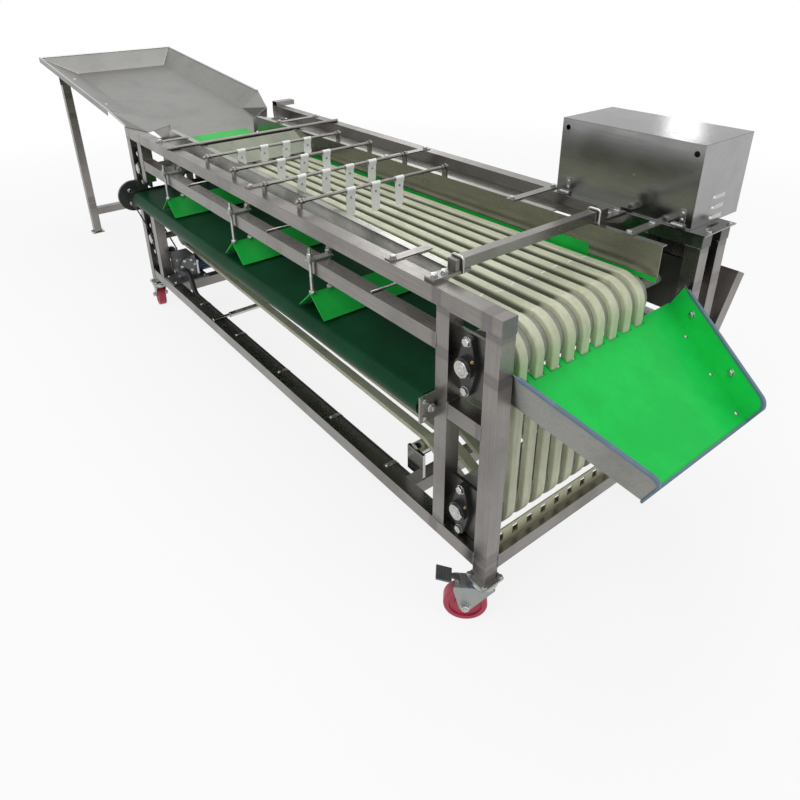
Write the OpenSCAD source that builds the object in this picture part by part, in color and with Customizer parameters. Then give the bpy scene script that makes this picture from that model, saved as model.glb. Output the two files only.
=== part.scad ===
// Fruit grading machine: feed tray, diverging belt deck, cross conveyor and discharge chute.
// Millimetres, +Z up, floor at zero. Lengths along X run back from the discharge end.

/* [Frame] */
// Outside width of the square frame tube
tube = 38; // [37:0.5:39]
// Wall thickness of the frame tube
tube_wall = 1.5; // [1.2:0.1:2]
// Length of the main frame
frame_len = 2020; // [2015:1:2030]
// Width of the main frame over both rails
frame_w = 690; // [686:1:694]
// Height of the top rails over the floor
frame_top = 788; // [785:1:792]
// Underside of the bottom rails
rail_low = 157; // [155:1:158]
// Underside of the posts, on top of the casters
post_low = 128; // [127:1:130]
// Clear distance from the discharge end to the inner post
post_gap = 99; // [97:1:101]
// Clear distance between the infeed end posts
post_gap_in = 82; // [81:1:84]
// Underside of the hanger rails
hanger_low = 650; // [648:1:650]
// Underside of the short rails between the discharge posts
stub_low = 500; // [496:1:505]

/* [Grading belts] */
// Number of grading belts
belt_count = 9; // [7:1:9]
// Width of one belt
belt_w = 26; // [24:1:26]
// Thickness of one belt
belt_t = 16; // [15.5:0.5:16]
// Radius of a belt's outer edges
belt_edge = 4; // [3:0.5:6]
// Belt spacing at the infeed roller
pitch_in = 37.5; // [37:0.5:38]
// Belt spacing at the discharge roller
pitch_out = 49; // [48:0.5:50]
// Distance of the middle belt from the near side
belt_mid = 298; // [296:1:300]
// Radius of the belt's inner face on a roller
drum_r = 54; // [53:0.5:54]
// Height of the roller ridges over the groove floor
ridge_h = 4; // [3:0.5:6]
// Height of the lower roller axis at the discharge end
low_right_z = 268; // [268:1:272]
// Height of the lower roller axis at the infeed end
low_left_z = 345; // [345:1:350]
// Upward slope of the belts behind the lower discharge roller
climb = 20; // [19:0.5:21]
// Roller shaft radius
shaft_r = 12.5; // [11:0.5:13]
// Radius of a bearing boss
boss_r = 26; // [25:0.5:27]
// Reach of a bearing flange bolt from the shaft
bolt_reach = 57; // [55:1:58]

/* [Cross conveyor] */
// Height of the conveyor roller axes
conv_z = 512; // [510:1:514]
// Overhang of the nose roller axis in front of the frame
nose_out = 12; // [12:0.5:13]
// Distance of the tail roller axis from the near side
tail_y = 600; // [590:1:602]
// Outside radius of the belt on a conveyor roller
conv_r = 27; // [26:0.5:28]
// Thickness of the conveyor belt
conv_t = 3; // [2.5:0.5:3.5]
// Distance of the belt edge from the discharge end
conv_right = 190; // [188:1:195]
// Distance of the belt edge from the infeed end
conv_left = 55; // [54:1:60]
// Radius of the round nose cover
cover_r = 62; // [60:1:64]
// Width of a divider tent over its feet
tent_w = 124; // [116:2:130]
// Rise of a divider tent over its feet
tent_h = 55; // [50:1:56]
// Gap between the belt and the feet of a tent
tent_lift = 6; // [5:0.5:7]

/* [Feed tray] */
// Distance of the tray's rear rim from the discharge end
tray_rear = 3290; // [3270:5:3310]
// Height of the rear rim
tray_rim_z = 932; // [925:1:940]
// Sheet thickness of tray and chute
sheet = 2; // [1.5:0.25:2.5]
// Depth of the folded rim lip
lip = 24; // [20:1:28]

/* [Chute] */
// Length of the chute floor
chute_len = 310; // [300:2:316]
// Slope of the chute floor
chute_tilt = 27; // [26:0.5:28]
// Height of the chute walls
chute_h = 65; // [60:1:70]
// Inside width of the chute at the front lip
chute_front_w = 374; // [360:2:380]
// Thickness of the green lining
lining = 2.5; // [2:0.25:3]
// Width of the rubber edge trim
trim = 6; // [5:0.5:7]
// Radius of the front wall corners
chute_round = 22; // [18:1:26]

/* [Drive cover] */
// Length of the drive cover
cover_len = 389; // [380:1:395]
// Depth of the drive cover
cover_d = 205; // [200:1:210]
// Height of the drive cover
cover_h = 196; // [190:1:200]
// Sheet thickness of the drive cover
cover_t = 1.5; // [1.2:0.1:2]
// Radius of the drive sprockets
sprocket_r = 36; // [34:1:37]

/* [Casters] */
// Wheel radius
wheel_r = 50; // [49:0.5:51]
// Wheel width
wheel_w = 32; // [30:1:34]
// Trail of the wheel behind the swivel axis
trail = 40; // [38:1:42]

/* [Levelling strips] */
// Radius of a levelling rod
rod_r = 5; // [4.5:0.5:5.5]
// Height of the rods over the top rails
rod_lift = 27; // [26:0.5:29]
// Width of a hanging strip
strip_w = 28; // [26:1:30]
// Length of a hanging strip of the first row under its rod
strip_l = 50; // [48:1:52]

/* [Hidden] */
$fn = 96;
// Gap between faces that run past each other
run_gap = 0.3;
// Radial clearance of a shaft in its bore
bore_gap = 0.05;
// Far side and derived heights
far_y = frame_w - tube;
top_low = frame_top - tube;
rail_top = rail_low + tube;
deck_z = frame_top - 148;
belt_r = drum_r + belt_t;
out_x = -98;
in_x = -frame_len + tube + post_gap_in / 2 + 1;
inner_r = -tube - post_gap;
inner_l = -frame_len + tube + post_gap_in;
// Belt positions across the deck
function y_in(i) = belt_mid + (i - (belt_count - 1) / 2) * pitch_in;
function y_out(i) = belt_mid + (i - (belt_count - 1) / 2) * pitch_out;
// Return run of the belts: level part, then the climb to the lower discharge roller
ret_z = low_left_z - belt_r;
climb_len = (ret_z - low_right_z + belt_r * cos(climb)) / sin(climb);
knee_x = out_x - belt_r * sin(climb) - climb_len * cos(climb);
climb_end_x = out_x - (drum_r + belt_t / 2) * sin(climb);
function slew(i) = (y_out(i) - y_in(i)) / (climb_end_x - in_x);
function y_knee(i) = y_in(i) + slew(i) * (knee_x - in_x);
// Inner cross rails
cross_mid_x = -319;
cross_gear_x = -frame_len + 221;
// Bearing plates
plate_y = 24;
plate_t = 8;
// Conveyor
conv_x0 = -frame_len + conv_left;
conv_x1 = -conv_right;
conv_roller_r = conv_r - conv_t - run_gap;
side_t = 5;
conv_shaft_r = 10;
chain_x = -frame_len + 46;
chain_w = 6;
chain_t = 6.6;
pinion_r = 24;
gear_y = 80;
gear_z = 258;
gear_box_x = -frame_len + 140;
// Divider tents
tent_x = [-1621, -1090, -642];
tent_z = conv_z + conv_r + tent_lift;
tent_end = frame_w - 36;
tent_rod_r = 4;
saddle_t = 5;
// Levelling rows
row_x = [-1286, -1098, -911, -724];
row_y = [[138, 220, 302, 384], [177, 259, 341], [138, 220, 302, 384], [177, 259, 341]];
strip_more = [0, 5, 13, 26];
rod_z = frame_top + rod_lift;
// Side guides
guide_z = 712;
guide_t = 2;
near_guide_a = [-frame_len + 170, 114];
near_guide_b = [-230, 79.5];
far_guide_a = [-frame_len + 170, 484];
far_guide_b = [-320, 511.4];
far_short_a = [-203, 512];
far_short_b = [-17, 515];
// Chute frame: floor origin at the comb edge
comb_x = -40;
comb_z = 603;
chute_back_a = tube + run_gap;
chute_back_b = far_y - 18;
chute_mid = 340;
chute_cut = 4;
// Start of the edge trim, clear of the corner posts
trim_start = 16;
// Drive cover and its hinge
cover_right = -27;
cover_x = cover_right - cover_len;
cover_y = frame_w - 50;
base_t = 3;
base_z = frame_top + base_t;
hinge_y = frame_w - 54;
hinge_z = base_z + 5;
hinge_r = 5;
pin_r = 2;
base_front = frame_w - 59;
rail2_y = frame_w + 41;
outrigger_low = 480;
// Rear guard sheet under the drive cover
guard_low = 600;
guard_lap = 20;
guard_inset = 4;
base_left = cover_x - 4;
drive_z = 850;
drive_y = frame_w + 16;
drive_w = 8;
// Casters: swivel axes and rest headings
caster_pos = [
    [-tube / 2, tube / 2, 227],
    [-tube / 2, frame_w - tube / 2, 205],
    [-frame_len + tube / 2, tube / 2, 170],
    [-frame_len + tube / 2, frame_w - tube / 2, 190]
];
// Footprint reach, for the frame origin
reach_left = -tray_rear;
chute_a0 = chute_back_a + sheet;
chute_b0 = chute_back_b - sheet;
chute_a1 = chute_mid - chute_front_w / 2;
chute_b1 = chute_mid + chute_front_w / 2;
wall_a = atan2(chute_a1 - chute_a0, chute_len);
wall_b = atan2(chute_b1 - chute_b0, chute_len);
corner_u = chute_len - chute_round * cos(wall_a) + (sheet + trim / 2) * sin(wall_a);
corner_r = (chute_round + trim / 2) * norm([cos(chute_tilt) * cos(wall_a), sin(chute_tilt)]);
corner_x = corner_u * cos(chute_tilt) + (chute_h - chute_round) * sin(chute_tilt);
reach_right = comb_x + corner_x + corner_r;
reach_near = -nose_out - cover_r;
channel_l = 190;
channel_d = 40;
channel_lean = 25;
reach_far = rail2_y + tube + run_gap + channel_l * sin(channel_lean) + channel_d * cos(channel_lean);
frame_x = -(reach_left + reach_right) / 2;
frame_y = -(reach_near + reach_far) / 2;
big = 3000;

module in_frame() {
    translate([frame_x, frame_y, 0]) children();
}

// Square tube from a corner, along X, Y or Z, open at both ends
module tube_x(x0, x1, y, z) {
    translate([x0, y, z]) difference() {
        cube([x1 - x0, tube, tube]);
        translate([-1, tube_wall, tube_wall])
            cube([x1 - x0 + 2, tube - 2 * tube_wall, tube - 2 * tube_wall]);
    }
}

module tube_y(x, y0, y1, z) {
    translate([x, y0, z]) difference() {
        cube([tube, y1 - y0, tube]);
        translate([tube_wall, -1, tube_wall])
            cube([tube - 2 * tube_wall, y1 - y0 + 2, tube - 2 * tube_wall]);
    }
}

module tube_z(x, y, z0, z1) {
    translate([x, y, z0]) difference() {
        cube([tube, tube, z1 - z0]);
        translate([tube_wall, tube_wall, -1])
            cube([tube - 2 * tube_wall, tube - 2 * tube_wall, z1 - z0 + 2]);
    }
}

// Cylinder along Y from y0 to y1
module rod_y(x, z, r, y0, y1) {
    translate([x, y0, z]) rotate([-90, 0, 0]) cylinder(r = r, h = y1 - y0);
}

// Cylinder along X from x0 to x1
module rod_x(y, z, r, x0, x1) {
    translate([x0, y, z]) rotate([0, 90, 0]) cylinder(r = r, h = x1 - x0);
}

module posts() {
    color("silver") in_frame() {
        for (y = [0, far_y]) {
            tube_z(-tube, y, post_low, top_low);
            tube_z(inner_r - tube, y, rail_top, top_low);
            tube_z(-frame_len, y, post_low, top_low);
        }
        tube_z(inner_l, 0, rail_top, conv_z - conv_r - 5);
        tube_z(inner_l, 0, conv_z + conv_r + 61, top_low);
        tube_z(inner_l, far_y, rail_top, top_low);
    }
}

module long_rails() {
    color("silver") in_frame() {
        for (y = [0, far_y]) {
            tube_x(-frame_len, 0, y, top_low);
            tube_x(-frame_len + tube, -tube, y, rail_low);
            tube_x(inner_l + tube, inner_r - tube, y, hanger_low);
            tube_x(inner_r, -tube, y, stub_low);
        }
    }
}

module cross_rails() {
    color("silver") in_frame() {
        for (x = [-tube, -frame_len, cross_mid_x, cross_gear_x])
            tube_y(x, tube, far_y, rail_low);
    }
}

module outrigger() {
    color("silver") in_frame() {
        tube_x(base_left, 0, rail2_y, top_low);
        tube_z(-tube, rail2_y, outrigger_low, top_low);
        tube_y(-tube, frame_w, rail2_y, outrigger_low);
        tube_y(base_left, frame_w, rail2_y, top_low);
        translate([base_left + guard_inset, rail2_y + tube, guard_low])
            cube([-base_left - tube - 2 * guard_inset, cover_t, top_low + guard_lap - guard_low]);
    }
}

module end_caps() {
    cap = 2;
    color("gray") in_frame() {
        for (y = [0, far_y]) {
            translate([0, y, top_low]) cube([cap, tube, tube]);
            translate([-frame_len - cap, y, top_low]) cube([cap, tube, tube]);
        }
        translate([0, rail2_y, top_low]) cube([cap, tube, tube]);
        translate([base_left - cap, rail2_y, top_low]) cube([cap, tube, tube]);
    }
}

// Perforated strip over the lower rail at the discharge end
module window_strip() {
    win_w = 18;
    win_h = 24;
    strip_t = 3;
    strip_h = 43;
    count = 13;
    step = (far_y - tube) / count;
    color("darkkhaki") in_frame() translate([-22, tube, rail_top]) difference() {
        cube([strip_t, far_y - tube, strip_h]);
        for (i = [0 : count - 1])
            translate([-1, step * (i + 0.5) - win_w / 2, (strip_h - win_h) / 2])
                cube([strip_t + 2, win_w, win_h]);
    }
}

module top_plate() {
    slot = 2 * (sprocket_r + chain_t) + 12;
    color("silver") in_frame() difference() {
        union() {
            translate([base_left, base_front, frame_top])
                cube([-base_left + 14, rail2_y + tube - base_front, base_t]);
            for (x = [cover_x + 16, cover_x + cover_len - 46]) {
                rod_x(hinge_y, hinge_z, hinge_r, x, x + 15);
                rod_x(hinge_y, hinge_z, pin_r, x, x + 30);
            }
        }
        translate([out_x - slot / 2, drive_y - 8, frame_top - 1])
            cube([slot, drive_w + 16, base_t + 2]);
    }
}

// Folded channel that leans out behind the discharge end
module side_channel() {
    w = 46;
    wall = 3;
    lug = 11;
    color("silver") in_frame() translate([-tube + 2, rail2_y + tube, 0]) {
        translate([0, run_gap, outrigger_low - 10]) rotate([-channel_lean, 0, 0]) difference() {
            cube([w, channel_d, channel_l]);
            translate([wall, wall, -1]) cube([w - 2 * wall, channel_d, channel_l + 2]);
        }
        translate([0, 0, outrigger_low + 2]) cube([tube - 2, lug, lug]);
    }
}

// Feed tray: sheet surface over named points, closed by an offset copy underneath
tray_slope = 0.104;
floor_x = -tray_rear + 120;
floor_z = tray_rim_z - 82;
function tray_floor(x) = floor_z - (x - floor_x) * tray_slope;
function tray_rim(x) = tray_rim_z - (x + tray_rear) * 0.1029;
turn_x = -frame_len - 210;
neck_x = -frame_len - 102;
end_x = -frame_len + 140;
far_end_x = -frame_len + 20;
tray_top = [
    [floor_x, 150, tray_floor(floor_x)],
    [turn_x, 143, tray_floor(turn_x)],
    [neck_x, 140, tray_floor(neck_x)],
    [end_x, 134, tray_floor(end_x)],
    [end_x, 480, tray_floor(end_x)],
    [far_end_x, 606, tray_floor(far_end_x)],
    [turn_x, 603, tray_floor(turn_x)],
    [floor_x, 600, tray_floor(floor_x)],
    [-tray_rear, 2, tray_rim_z],
    [turn_x, 2, tray_rim(turn_x)],
    [neck_x, 96, 800],
    [end_x, 130, 800],
    [turn_x, 692, tray_rim(turn_x)],
    [-tray_rear, 692, tray_rim_z],
    [-tray_rear, 2, tray_rim_z - lip],
    [turn_x, 2, tray_rim(turn_x) - lip],
    [turn_x, 692, tray_rim(turn_x) - lip],
    [-tray_rear, 692, tray_rim_z - lip],
    [far_end_x, 611, tray_floor(far_end_x) + 60],
    [end_x, 484, tray_floor(end_x) + 60]
];
tray_shift = [
    [-1, -1, -1], [0, -1, -1], [0, -1, -1], [0, -1, -1], [0, 1, -1], [0, 1, -1], [0, 1, -1],
    [-1, 1, -1], [1, 1, -1.8], [0, 1, -1.7], [0, -1, -0.4], [0, -1, 0], [0, -1, -2], [1, -1, -2],
    [1, 1, 0], [0, 1, 0], [0, -1, 0], [1, -1, 0], [0, 1, -0.4], [0, 1, 0]
];
tray_faces = [
    [0, 7, 1], [1, 7, 6], [1, 6, 2], [2, 6, 5], [2, 5, 3], [3, 5, 4],
    [8, 0, 9], [9, 0, 1], [9, 1, 10], [10, 1, 2], [10, 2, 11], [11, 2, 3],
    [8, 13, 0], [0, 13, 7], [7, 13, 12], [7, 12, 6], [6, 12, 18], [6, 18, 5],
    [5, 18, 19], [5, 19, 4],
    [14, 8, 15], [15, 8, 9], [14, 17, 8], [17, 13, 8], [17, 16, 13], [16, 12, 13]
];
tray_edge = [3, 4, 19, 18, 12, 16, 17, 14, 15, 9, 10, 11];

module tray_pan() {
    n = len(tray_top);
    low = [for (i = [0 : n - 1]) tray_top[i] + sheet * tray_shift[i]];
    m = len(tray_edge);
    rim = [for (i = [0 : m - 1]) [tray_edge[i], tray_edge[(i + 1) % m]]];
    color("silver") in_frame() polyhedron(
        points = concat(tray_top, low),
        faces = concat(
            [for (f = tray_faces) [f[0], f[1], f[2]]],
            [for (f = tray_faces) [f[2] + n, f[1] + n, f[0] + n]],
            [for (e = rim) [e[0], e[1], e[1] + n]],
            [for (e = rim) [e[0], e[1] + n, e[0] + n]]
        )
    );
}

leg_x = floor_x + 1;
leg_y = [50, 558];
bar_top = tray_floor(leg_x + tube) - sheet - run_gap;

module tray_legs() {
    color("silver") in_frame() for (y = leg_y) {
        tube_z(leg_x, y, 4, bar_top - tube);
        translate([leg_x - 11, y - 11, 0]) cube([tube + 22, tube + 22, 4]);
    }
}

// Cross tubes under the tray, its front bar and the stub on the far rail
module tray_supports() {
    front_w = 24;
    front_h = 12;
    stub_h = 19;
    stub_l = 88;
    brace_low = 102;
    front_top = tray_floor(-frame_len + front_w) - sheet - run_gap;
    front_low = min(front_top, top_low) - front_h;
    color("silver") in_frame() {
        tube_y(leg_x, leg_y[0], leg_y[1] + tube, bar_top - tube);
        tube_y(leg_x, leg_y[0] + tube, leg_y[1], brace_low);
        translate([-frame_len, tube, front_low]) cube([front_w, far_y - tube, front_top - front_low]);
        translate([-frame_len, far_y, frame_top]) difference() {
            cube([tube, stub_l, stub_h]);
            translate([tube_wall, -1, tube_wall])
                cube([tube - 2 * tube_wall, stub_l + 2, stub_h - 2 * tube_wall]);
        }
    }
}

// Green wear strip over the tray outlet
module tray_lip() {
    drop = atan(tray_slope);
    color("limegreen") in_frame()
        translate([end_x - 70, 0, tray_floor(end_x - 70) + run_gap]) rotate([0, drop, 0])
            translate([0, 140, 0]) cube([84, 336, 3]);
}

// Folded guide rail between two plan points
module guide(a, b, fold) {
    run = norm(b - a);
    translate([a[0], a[1], 0]) rotate([0, 0, atan2(b[1] - a[1], b[0] - a[0])]) {
        translate([0, 0, guide_z]) cube([run, guide_t, frame_top - guide_z]);
        translate([0, min(fold, 0), frame_top - guide_t]) cube([run, abs(fold) + guide_t, guide_t]);
    }
}

module side_guides() {
    color("silver") in_frame() {
        guide(near_guide_a, near_guide_b, 18);
        guide(far_guide_a, far_guide_b, 16);
        guide(far_short_a, far_short_b, 16);
    }
}

// Straps that carry the guides and plates that carry the levelling rods
module brackets() {
    strap_w = 25;
    strap_t = 3;
    post_t = 6;
    color("silver") in_frame() {
        for (x = [-frame_len + 320, -1005, -350])
            translate([x, 6, frame_top]) cube([strap_w, 114, strap_t]);
        for (x = [-frame_len + 320, -1005, -460])
            translate([x, 490, frame_top]) cube([strap_w, far_y + 23 - 490, strap_t]);
        translate([-120, 515, frame_top]) cube([strap_w, base_front - run_gap - 515, strap_t]);
        for (x = row_x) {
            difference() {
                union() {
                    translate([x - 9, 18, frame_top]) cube([18, post_t, rod_lift]);
                    rod_y(x, rod_z, 9, 18, 18 + post_t);
                }
                rod_y(x, rod_z, rod_r + bore_gap, 17, 19 + post_t);
            }
            difference() {
                union() {
                    translate([x - 9, 508, frame_top]) cube([18, post_t, rod_lift]);
                    rod_y(x, rod_z, 9, 508, 508 + post_t);
                }
                rod_y(x, rod_z, rod_r + bore_gap, 507, 509 + post_t);
            }
        }
    }
}

// Round bar over the infeed end and square tube over the discharge end
module tie_bars() {
    bar = 24;
    bar_r = 6;
    bar_x = -217;
    strap_t = 8;
    color("silver") in_frame() {
        rod_y(-frame_len + 470, frame_top + bar_r, bar_r, -10, frame_w - 8);
        translate([bar_x, 66, frame_top + strap_t]) difference() {
            cube([bar, 491, bar]);
            translate([tube_wall, -1, tube_wall]) cube([bar - 2 * tube_wall, 493, bar - 2 * tube_wall]);
        }
        translate([bar_x - 3, 6, frame_top]) cube([bar + 6, 100, strap_t]);
        translate([bar_x - 3, 517, frame_top]) cube([bar + 6, base_front - run_gap - 517, strap_t]);
    }
}

// Sloping plate that hangs from the infeed bar and spreads fruit onto the belts
module feed_plate() {
    fall = 25;
    color("olive") in_frame() translate([-frame_len + 455, 130, frame_top - sheet]) {
        cube([32, 346, sheet]);
        translate([32, 0, sheet]) rotate([0, fall, 0]) translate([0, 0, -sheet]) cube([128, 346, sheet]);
    }
}

// Chute in its floor frame: u down the slope, y across, w off the floor
module chute_frame() {
    in_frame() translate([comb_x, 0, comb_z]) rotate([0, chute_tilt, 0]) children();
}

// Plan of the chute floor, grown sideways by a margin
module chute_plan(grow) {
    polygon([[0, chute_a0 - grow], [chute_len, chute_a1 - grow],
        [chute_len, chute_b1 + grow], [0, chute_b0 + grow]]);
}

// Side of a chute wall with its rounded front corner
module wall_side(length, high, round_r) {
    square([length, high - round_r]);
    square([length - round_r, high]);
    translate([length - round_r, high - round_r]) circle(r = round_r);
}

// Slots that clear the belts at the comb edge
module comb_slots() {
    for (i = [0 : belt_count - 1])
        translate([out_x + belt_r - 60, y_out(i) - belt_w / 2 - chute_cut, comb_z - 120])
            cube([60 + chute_cut, belt_w + 2 * chute_cut, 240]);
}

module chute_walls(thick, high, base) {
    long_a = chute_len / cos(wall_a);
    long_b = chute_len / cos(wall_b);
    translate([0, chute_a0, base]) rotate([0, 0, wall_a]) rotate([90, 0, 0])
        linear_extrude(thick) wall_side(long_a, high, chute_round);
    translate([0, chute_b0, base]) rotate([0, 0, wall_b]) translate([0, thick, 0]) rotate([90, 0, 0])
        linear_extrude(thick) wall_side(long_b, high, chute_round);
}

module chute_shell() {
    color("silver") difference() {
        chute_frame() union() {
            translate([0, 0, -lining - sheet]) linear_extrude(sheet) chute_plan(sheet / 2);
            intersection() {
                chute_walls(sheet, chute_h + lining + sheet, -lining - sheet);
                translate([0, 0, -20]) cube([chute_len, far_y, 200]);
            }
        }
        in_frame() comb_slots();
    }
}

module chute_lining() {
    color("limegreen") difference() {
        chute_frame() translate([0, 0, -lining]) linear_extrude(lining) chute_plan(0);
        in_frame() comb_slots();
    }
}

// Strip along the top and front edge of one wall, over both its faces
module trim_strip(length) {
    grow = trim / 2;
    high = chute_h + lining + sheet;
    translate([0, sheet + grow, -lining - sheet]) rotate([90, 0, 0]) linear_extrude(sheet + trim) difference() {
        translate([grow, -grow]) wall_side(length, high + trim, chute_round + grow);
        translate([-1, -trim]) wall_side(length + 1 - grow, high + trim / 2, chute_round);
    }
}

module chute_trim() {
    grow = trim / 2;
    color("slategray") difference() {
        chute_frame() intersection() {
            union() {
                translate([0, chute_a0, 0]) rotate([0, 0, wall_a]) translate([0, -sheet, 0])
                    trim_strip(chute_len / cos(wall_a));
                translate([0, chute_b0, 0]) rotate([0, 0, wall_b]) trim_strip(chute_len / cos(wall_b));
                translate([chute_len - grow, chute_a1 - sheet, -lining - sheet - grow])
                    cube([trim, chute_front_w + 2 * sheet, trim + lining + sheet]);
            }
            translate([trim_start, 0, -big / 2]) cube([chute_len + grow - trim_start, far_y, big]);
        }
        chute_shell();
        chute_lining();
    }
}

module conveyor_frame() {
    plate_h = 66;
    bed_t = 3;
    bed_z = conv_z + conv_r - conv_t - run_gap - bed_t;
    color("silver") in_frame() difference() {
        union() {
            translate([inner_r - tube - side_t, -40, conv_z - plate_h / 2])
                cube([side_t, frame_w + 40, plate_h]);
            translate([-frame_len + tube, -nose_out - 24, conv_z - plate_h / 2])
                cube([side_t, frame_w + nose_out + 24, plate_h]);
            translate([-frame_len + tube, 40, bed_z])
                cube([frame_len - tube + inner_r - tube, 520, bed_t]);
            for (y = [60, 300, 520])
                translate([-frame_len + tube, y, bed_z - 24])
                    cube([frame_len - tube + inner_r - tube, 4, 24]);
        }
        rod_x(-nose_out, conv_z, conv_shaft_r + bore_gap, -frame_len, 0);
        rod_x(tail_y, conv_z, conv_shaft_r + bore_gap, -frame_len, 0);
    }
}

module stadium(a, b, r) {
    run = norm(b - a);
    translate(a) circle(r = r);
    translate(b) circle(r = r);
    translate(a) rotate(atan2(b[1] - a[1], b[0] - a[0])) translate([0, -r]) square([run, 2 * r]);
}

// Endless loop in the Y-Z plane, extruded along X
module loop_x(x0, x1, a, b, r_out, r_in) {
    run = norm(b - a);
    translate([x0, a[0], a[1]]) rotate([atan2(b[1] - a[1], b[0] - a[0]), 0, 0]) rotate([90, 0, 90])
        linear_extrude(x1 - x0) difference() {
            stadium([0, 0], [run, 0], r_out);
            stadium([0, 0], [run, 0], r_in);
        }
}

module conveyor_belt() {
    color("darkgreen") in_frame()
        loop_x(conv_x0, conv_x1, [-nose_out, conv_z], [tail_y, conv_z], conv_r, conv_r - conv_t);
}

// Round-ended cover on the outside of the infeed post
module nose_cover() {
    thick = 11;
    color("dimgray") in_frame() translate([-frame_len - thick, 0, 0]) rotate([90, 0, 90])
        linear_extrude(thick) difference() {
            union() {
                translate([-nose_out, conv_z]) circle(r = cover_r);
                translate([-nose_out, conv_z - cover_r]) square([nose_out + tube, 2 * cover_r]);
            }
            translate([-nose_out, conv_z]) circle(r = conv_shaft_r + bore_gap);
        }
}

// Bearing stations: shaft position and clear width between the posts
stations = [
    [out_x, deck_z, inner_r, -tube],
    [out_x, low_right_z, inner_r, -tube],
    [in_x, deck_z, -frame_len + tube, inner_l],
    [in_x, low_left_z, -frame_len + tube + 22, inner_l]
];

module bearing_plates() {
    color("silver") in_frame() for (s = stations) {
        for (y = [plate_y, frame_w - plate_y - plate_t]) {
            difference() {
                translate([s[2], y, s[1] - bolt_reach - 14])
                    cube([s[3] - s[2], plate_t, 2 * bolt_reach + 28]);
                rod_y(s[0], s[1], shaft_r + 2, y - 1, y + plate_t + 1);
            }
        }
    }
}

// Two-bolt flange bearing, seen along the shaft
module flange_outline() {
    lobe = 12;
    circle(r = boss_r);
    for (s = [-1, 1])
        translate([0, s * bolt_reach]) circle(r = lobe);
    polygon([[-boss_r + 2, 12], [-lobe, bolt_reach], [lobe, bolt_reach], [boss_r - 2, 12],
        [boss_r - 2, -12], [lobe, -bolt_reach], [-lobe, -bolt_reach], [-boss_r + 2, -12]]);
}

module bearing() {
    difference() {
        union() {
            linear_extrude(11) flange_outline();
            cylinder(r = boss_r - 3, h = 22);
        }
        translate([0, 0, -1]) cylinder(r = shaft_r + bore_gap, h = 24);
    }
}

module bearings() {
    color("dimgray") in_frame() for (s = stations) {
        translate([s[0], plate_y, s[1]]) rotate([90, 0, 0]) bearing();
        translate([s[0], frame_w - plate_y, s[1]]) rotate([-90, 0, 0]) bearing();
    }
}

// Belt section: flat on the roller side, rounded on the fruit side
module belt_section() {
    inner = belt_w / 2 - belt_edge;
    translate([-belt_w / 2, 0]) square([belt_w, belt_t - belt_edge]);
    translate([-inner, 0]) square([2 * inner, belt_t]);
    for (s = [-1, 1])
        translate([s * inner, belt_t - belt_edge]) circle(r = belt_edge);
}

// Straight belt from x0 to x1 that drifts sideways from y0 to y1
module belt_run(x0, y0, x1, y1) {
    over = 40;
    translate([x0, y0, 0]) rotate([0, 0, atan2(y1 - y0, x1 - x0)]) translate([-over, 0, 0])
        rotate([90, 0, 90]) linear_extrude(x1 - x0 + 2 * over) belt_section();
}

module belts_top() {
    color("beige") in_frame() for (i = [0 : belt_count - 1]) intersection() {
        translate([0, 0, deck_z + drum_r]) belt_run(in_x, y_in(i), out_x, y_out(i));
        translate([in_x, 0, deck_z]) cube([out_x - in_x, frame_w, 2 * belt_r]);
    }
}

// Part of a belt ring around a roller
module belt_arc(x, y, z, start, sweep) {
    translate([x, y, z]) rotate([90, 0, 0]) rotate([0, 0, start]) rotate_extrude(angle = sweep)
        translate([drum_r, 0]) rotate(-90) belt_section();
}

module belts_wraps() {
    color("beige") in_frame() for (i = [0 : belt_count - 1]) {
        belt_arc(out_x, y_out(i), deck_z, 0, 90);
        belt_arc(out_x, y_out(i), low_right_z, 270 - climb, 90 + climb);
        belt_arc(in_x, y_in(i), deck_z, 90, 90);
        belt_arc(in_x, y_in(i), low_left_z, 180, 90);
    }
}

// Half space on one side of the knee plane
module knee_side(s) {
    translate([knee_x, 0, ret_z]) rotate([0, climb / 2, 0])
        translate([min(0, s * big), -big, -big]) cube([big, 2 * big, 2 * big]);
}

module belts_end_runs() {
    color("beige") in_frame() for (i = [0 : belt_count - 1]) {
        translate([out_x + drum_r, y_out(i), low_right_z]) rotate([0, 0, 90])
            linear_extrude(deck_z - low_right_z) rotate(180) belt_section();
        translate([in_x - drum_r, y_in(i), low_left_z]) rotate([0, 0, 90])
            linear_extrude(deck_z - low_left_z) belt_section();
        intersection() {
            translate([out_x, 0, low_right_z]) rotate([0, climb, 0]) intersection() {
                translate([0, 0, -drum_r]) mirror([0, 0, 1])
                    belt_run(-climb_len, y_knee(i), 0, y_out(i));
                translate([-big, 0, -2 * belt_r]) cube([big, frame_w, 4 * belt_r]);
            }
            knee_side(1);
        }
    }
}

module belts_return() {
    color("beige") in_frame() for (i = [0 : belt_count - 1]) intersection() {
        translate([0, 0, ret_z + belt_t]) mirror([0, 0, 1])
            belt_run(in_x, y_in(i), knee_x, y_knee(i));
        translate([in_x, 0, 0]) cube([big, frame_w, deck_z]);
        knee_side(-1);
    }
}

// Rods under the deck, sag roller over the bottom rails and the knee idler with its brackets
idler_r = 20;
idler_x = knee_x - (idler_r + run_gap) * tan(climb / 2);
idler_z = ret_z - idler_r - run_gap;

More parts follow.
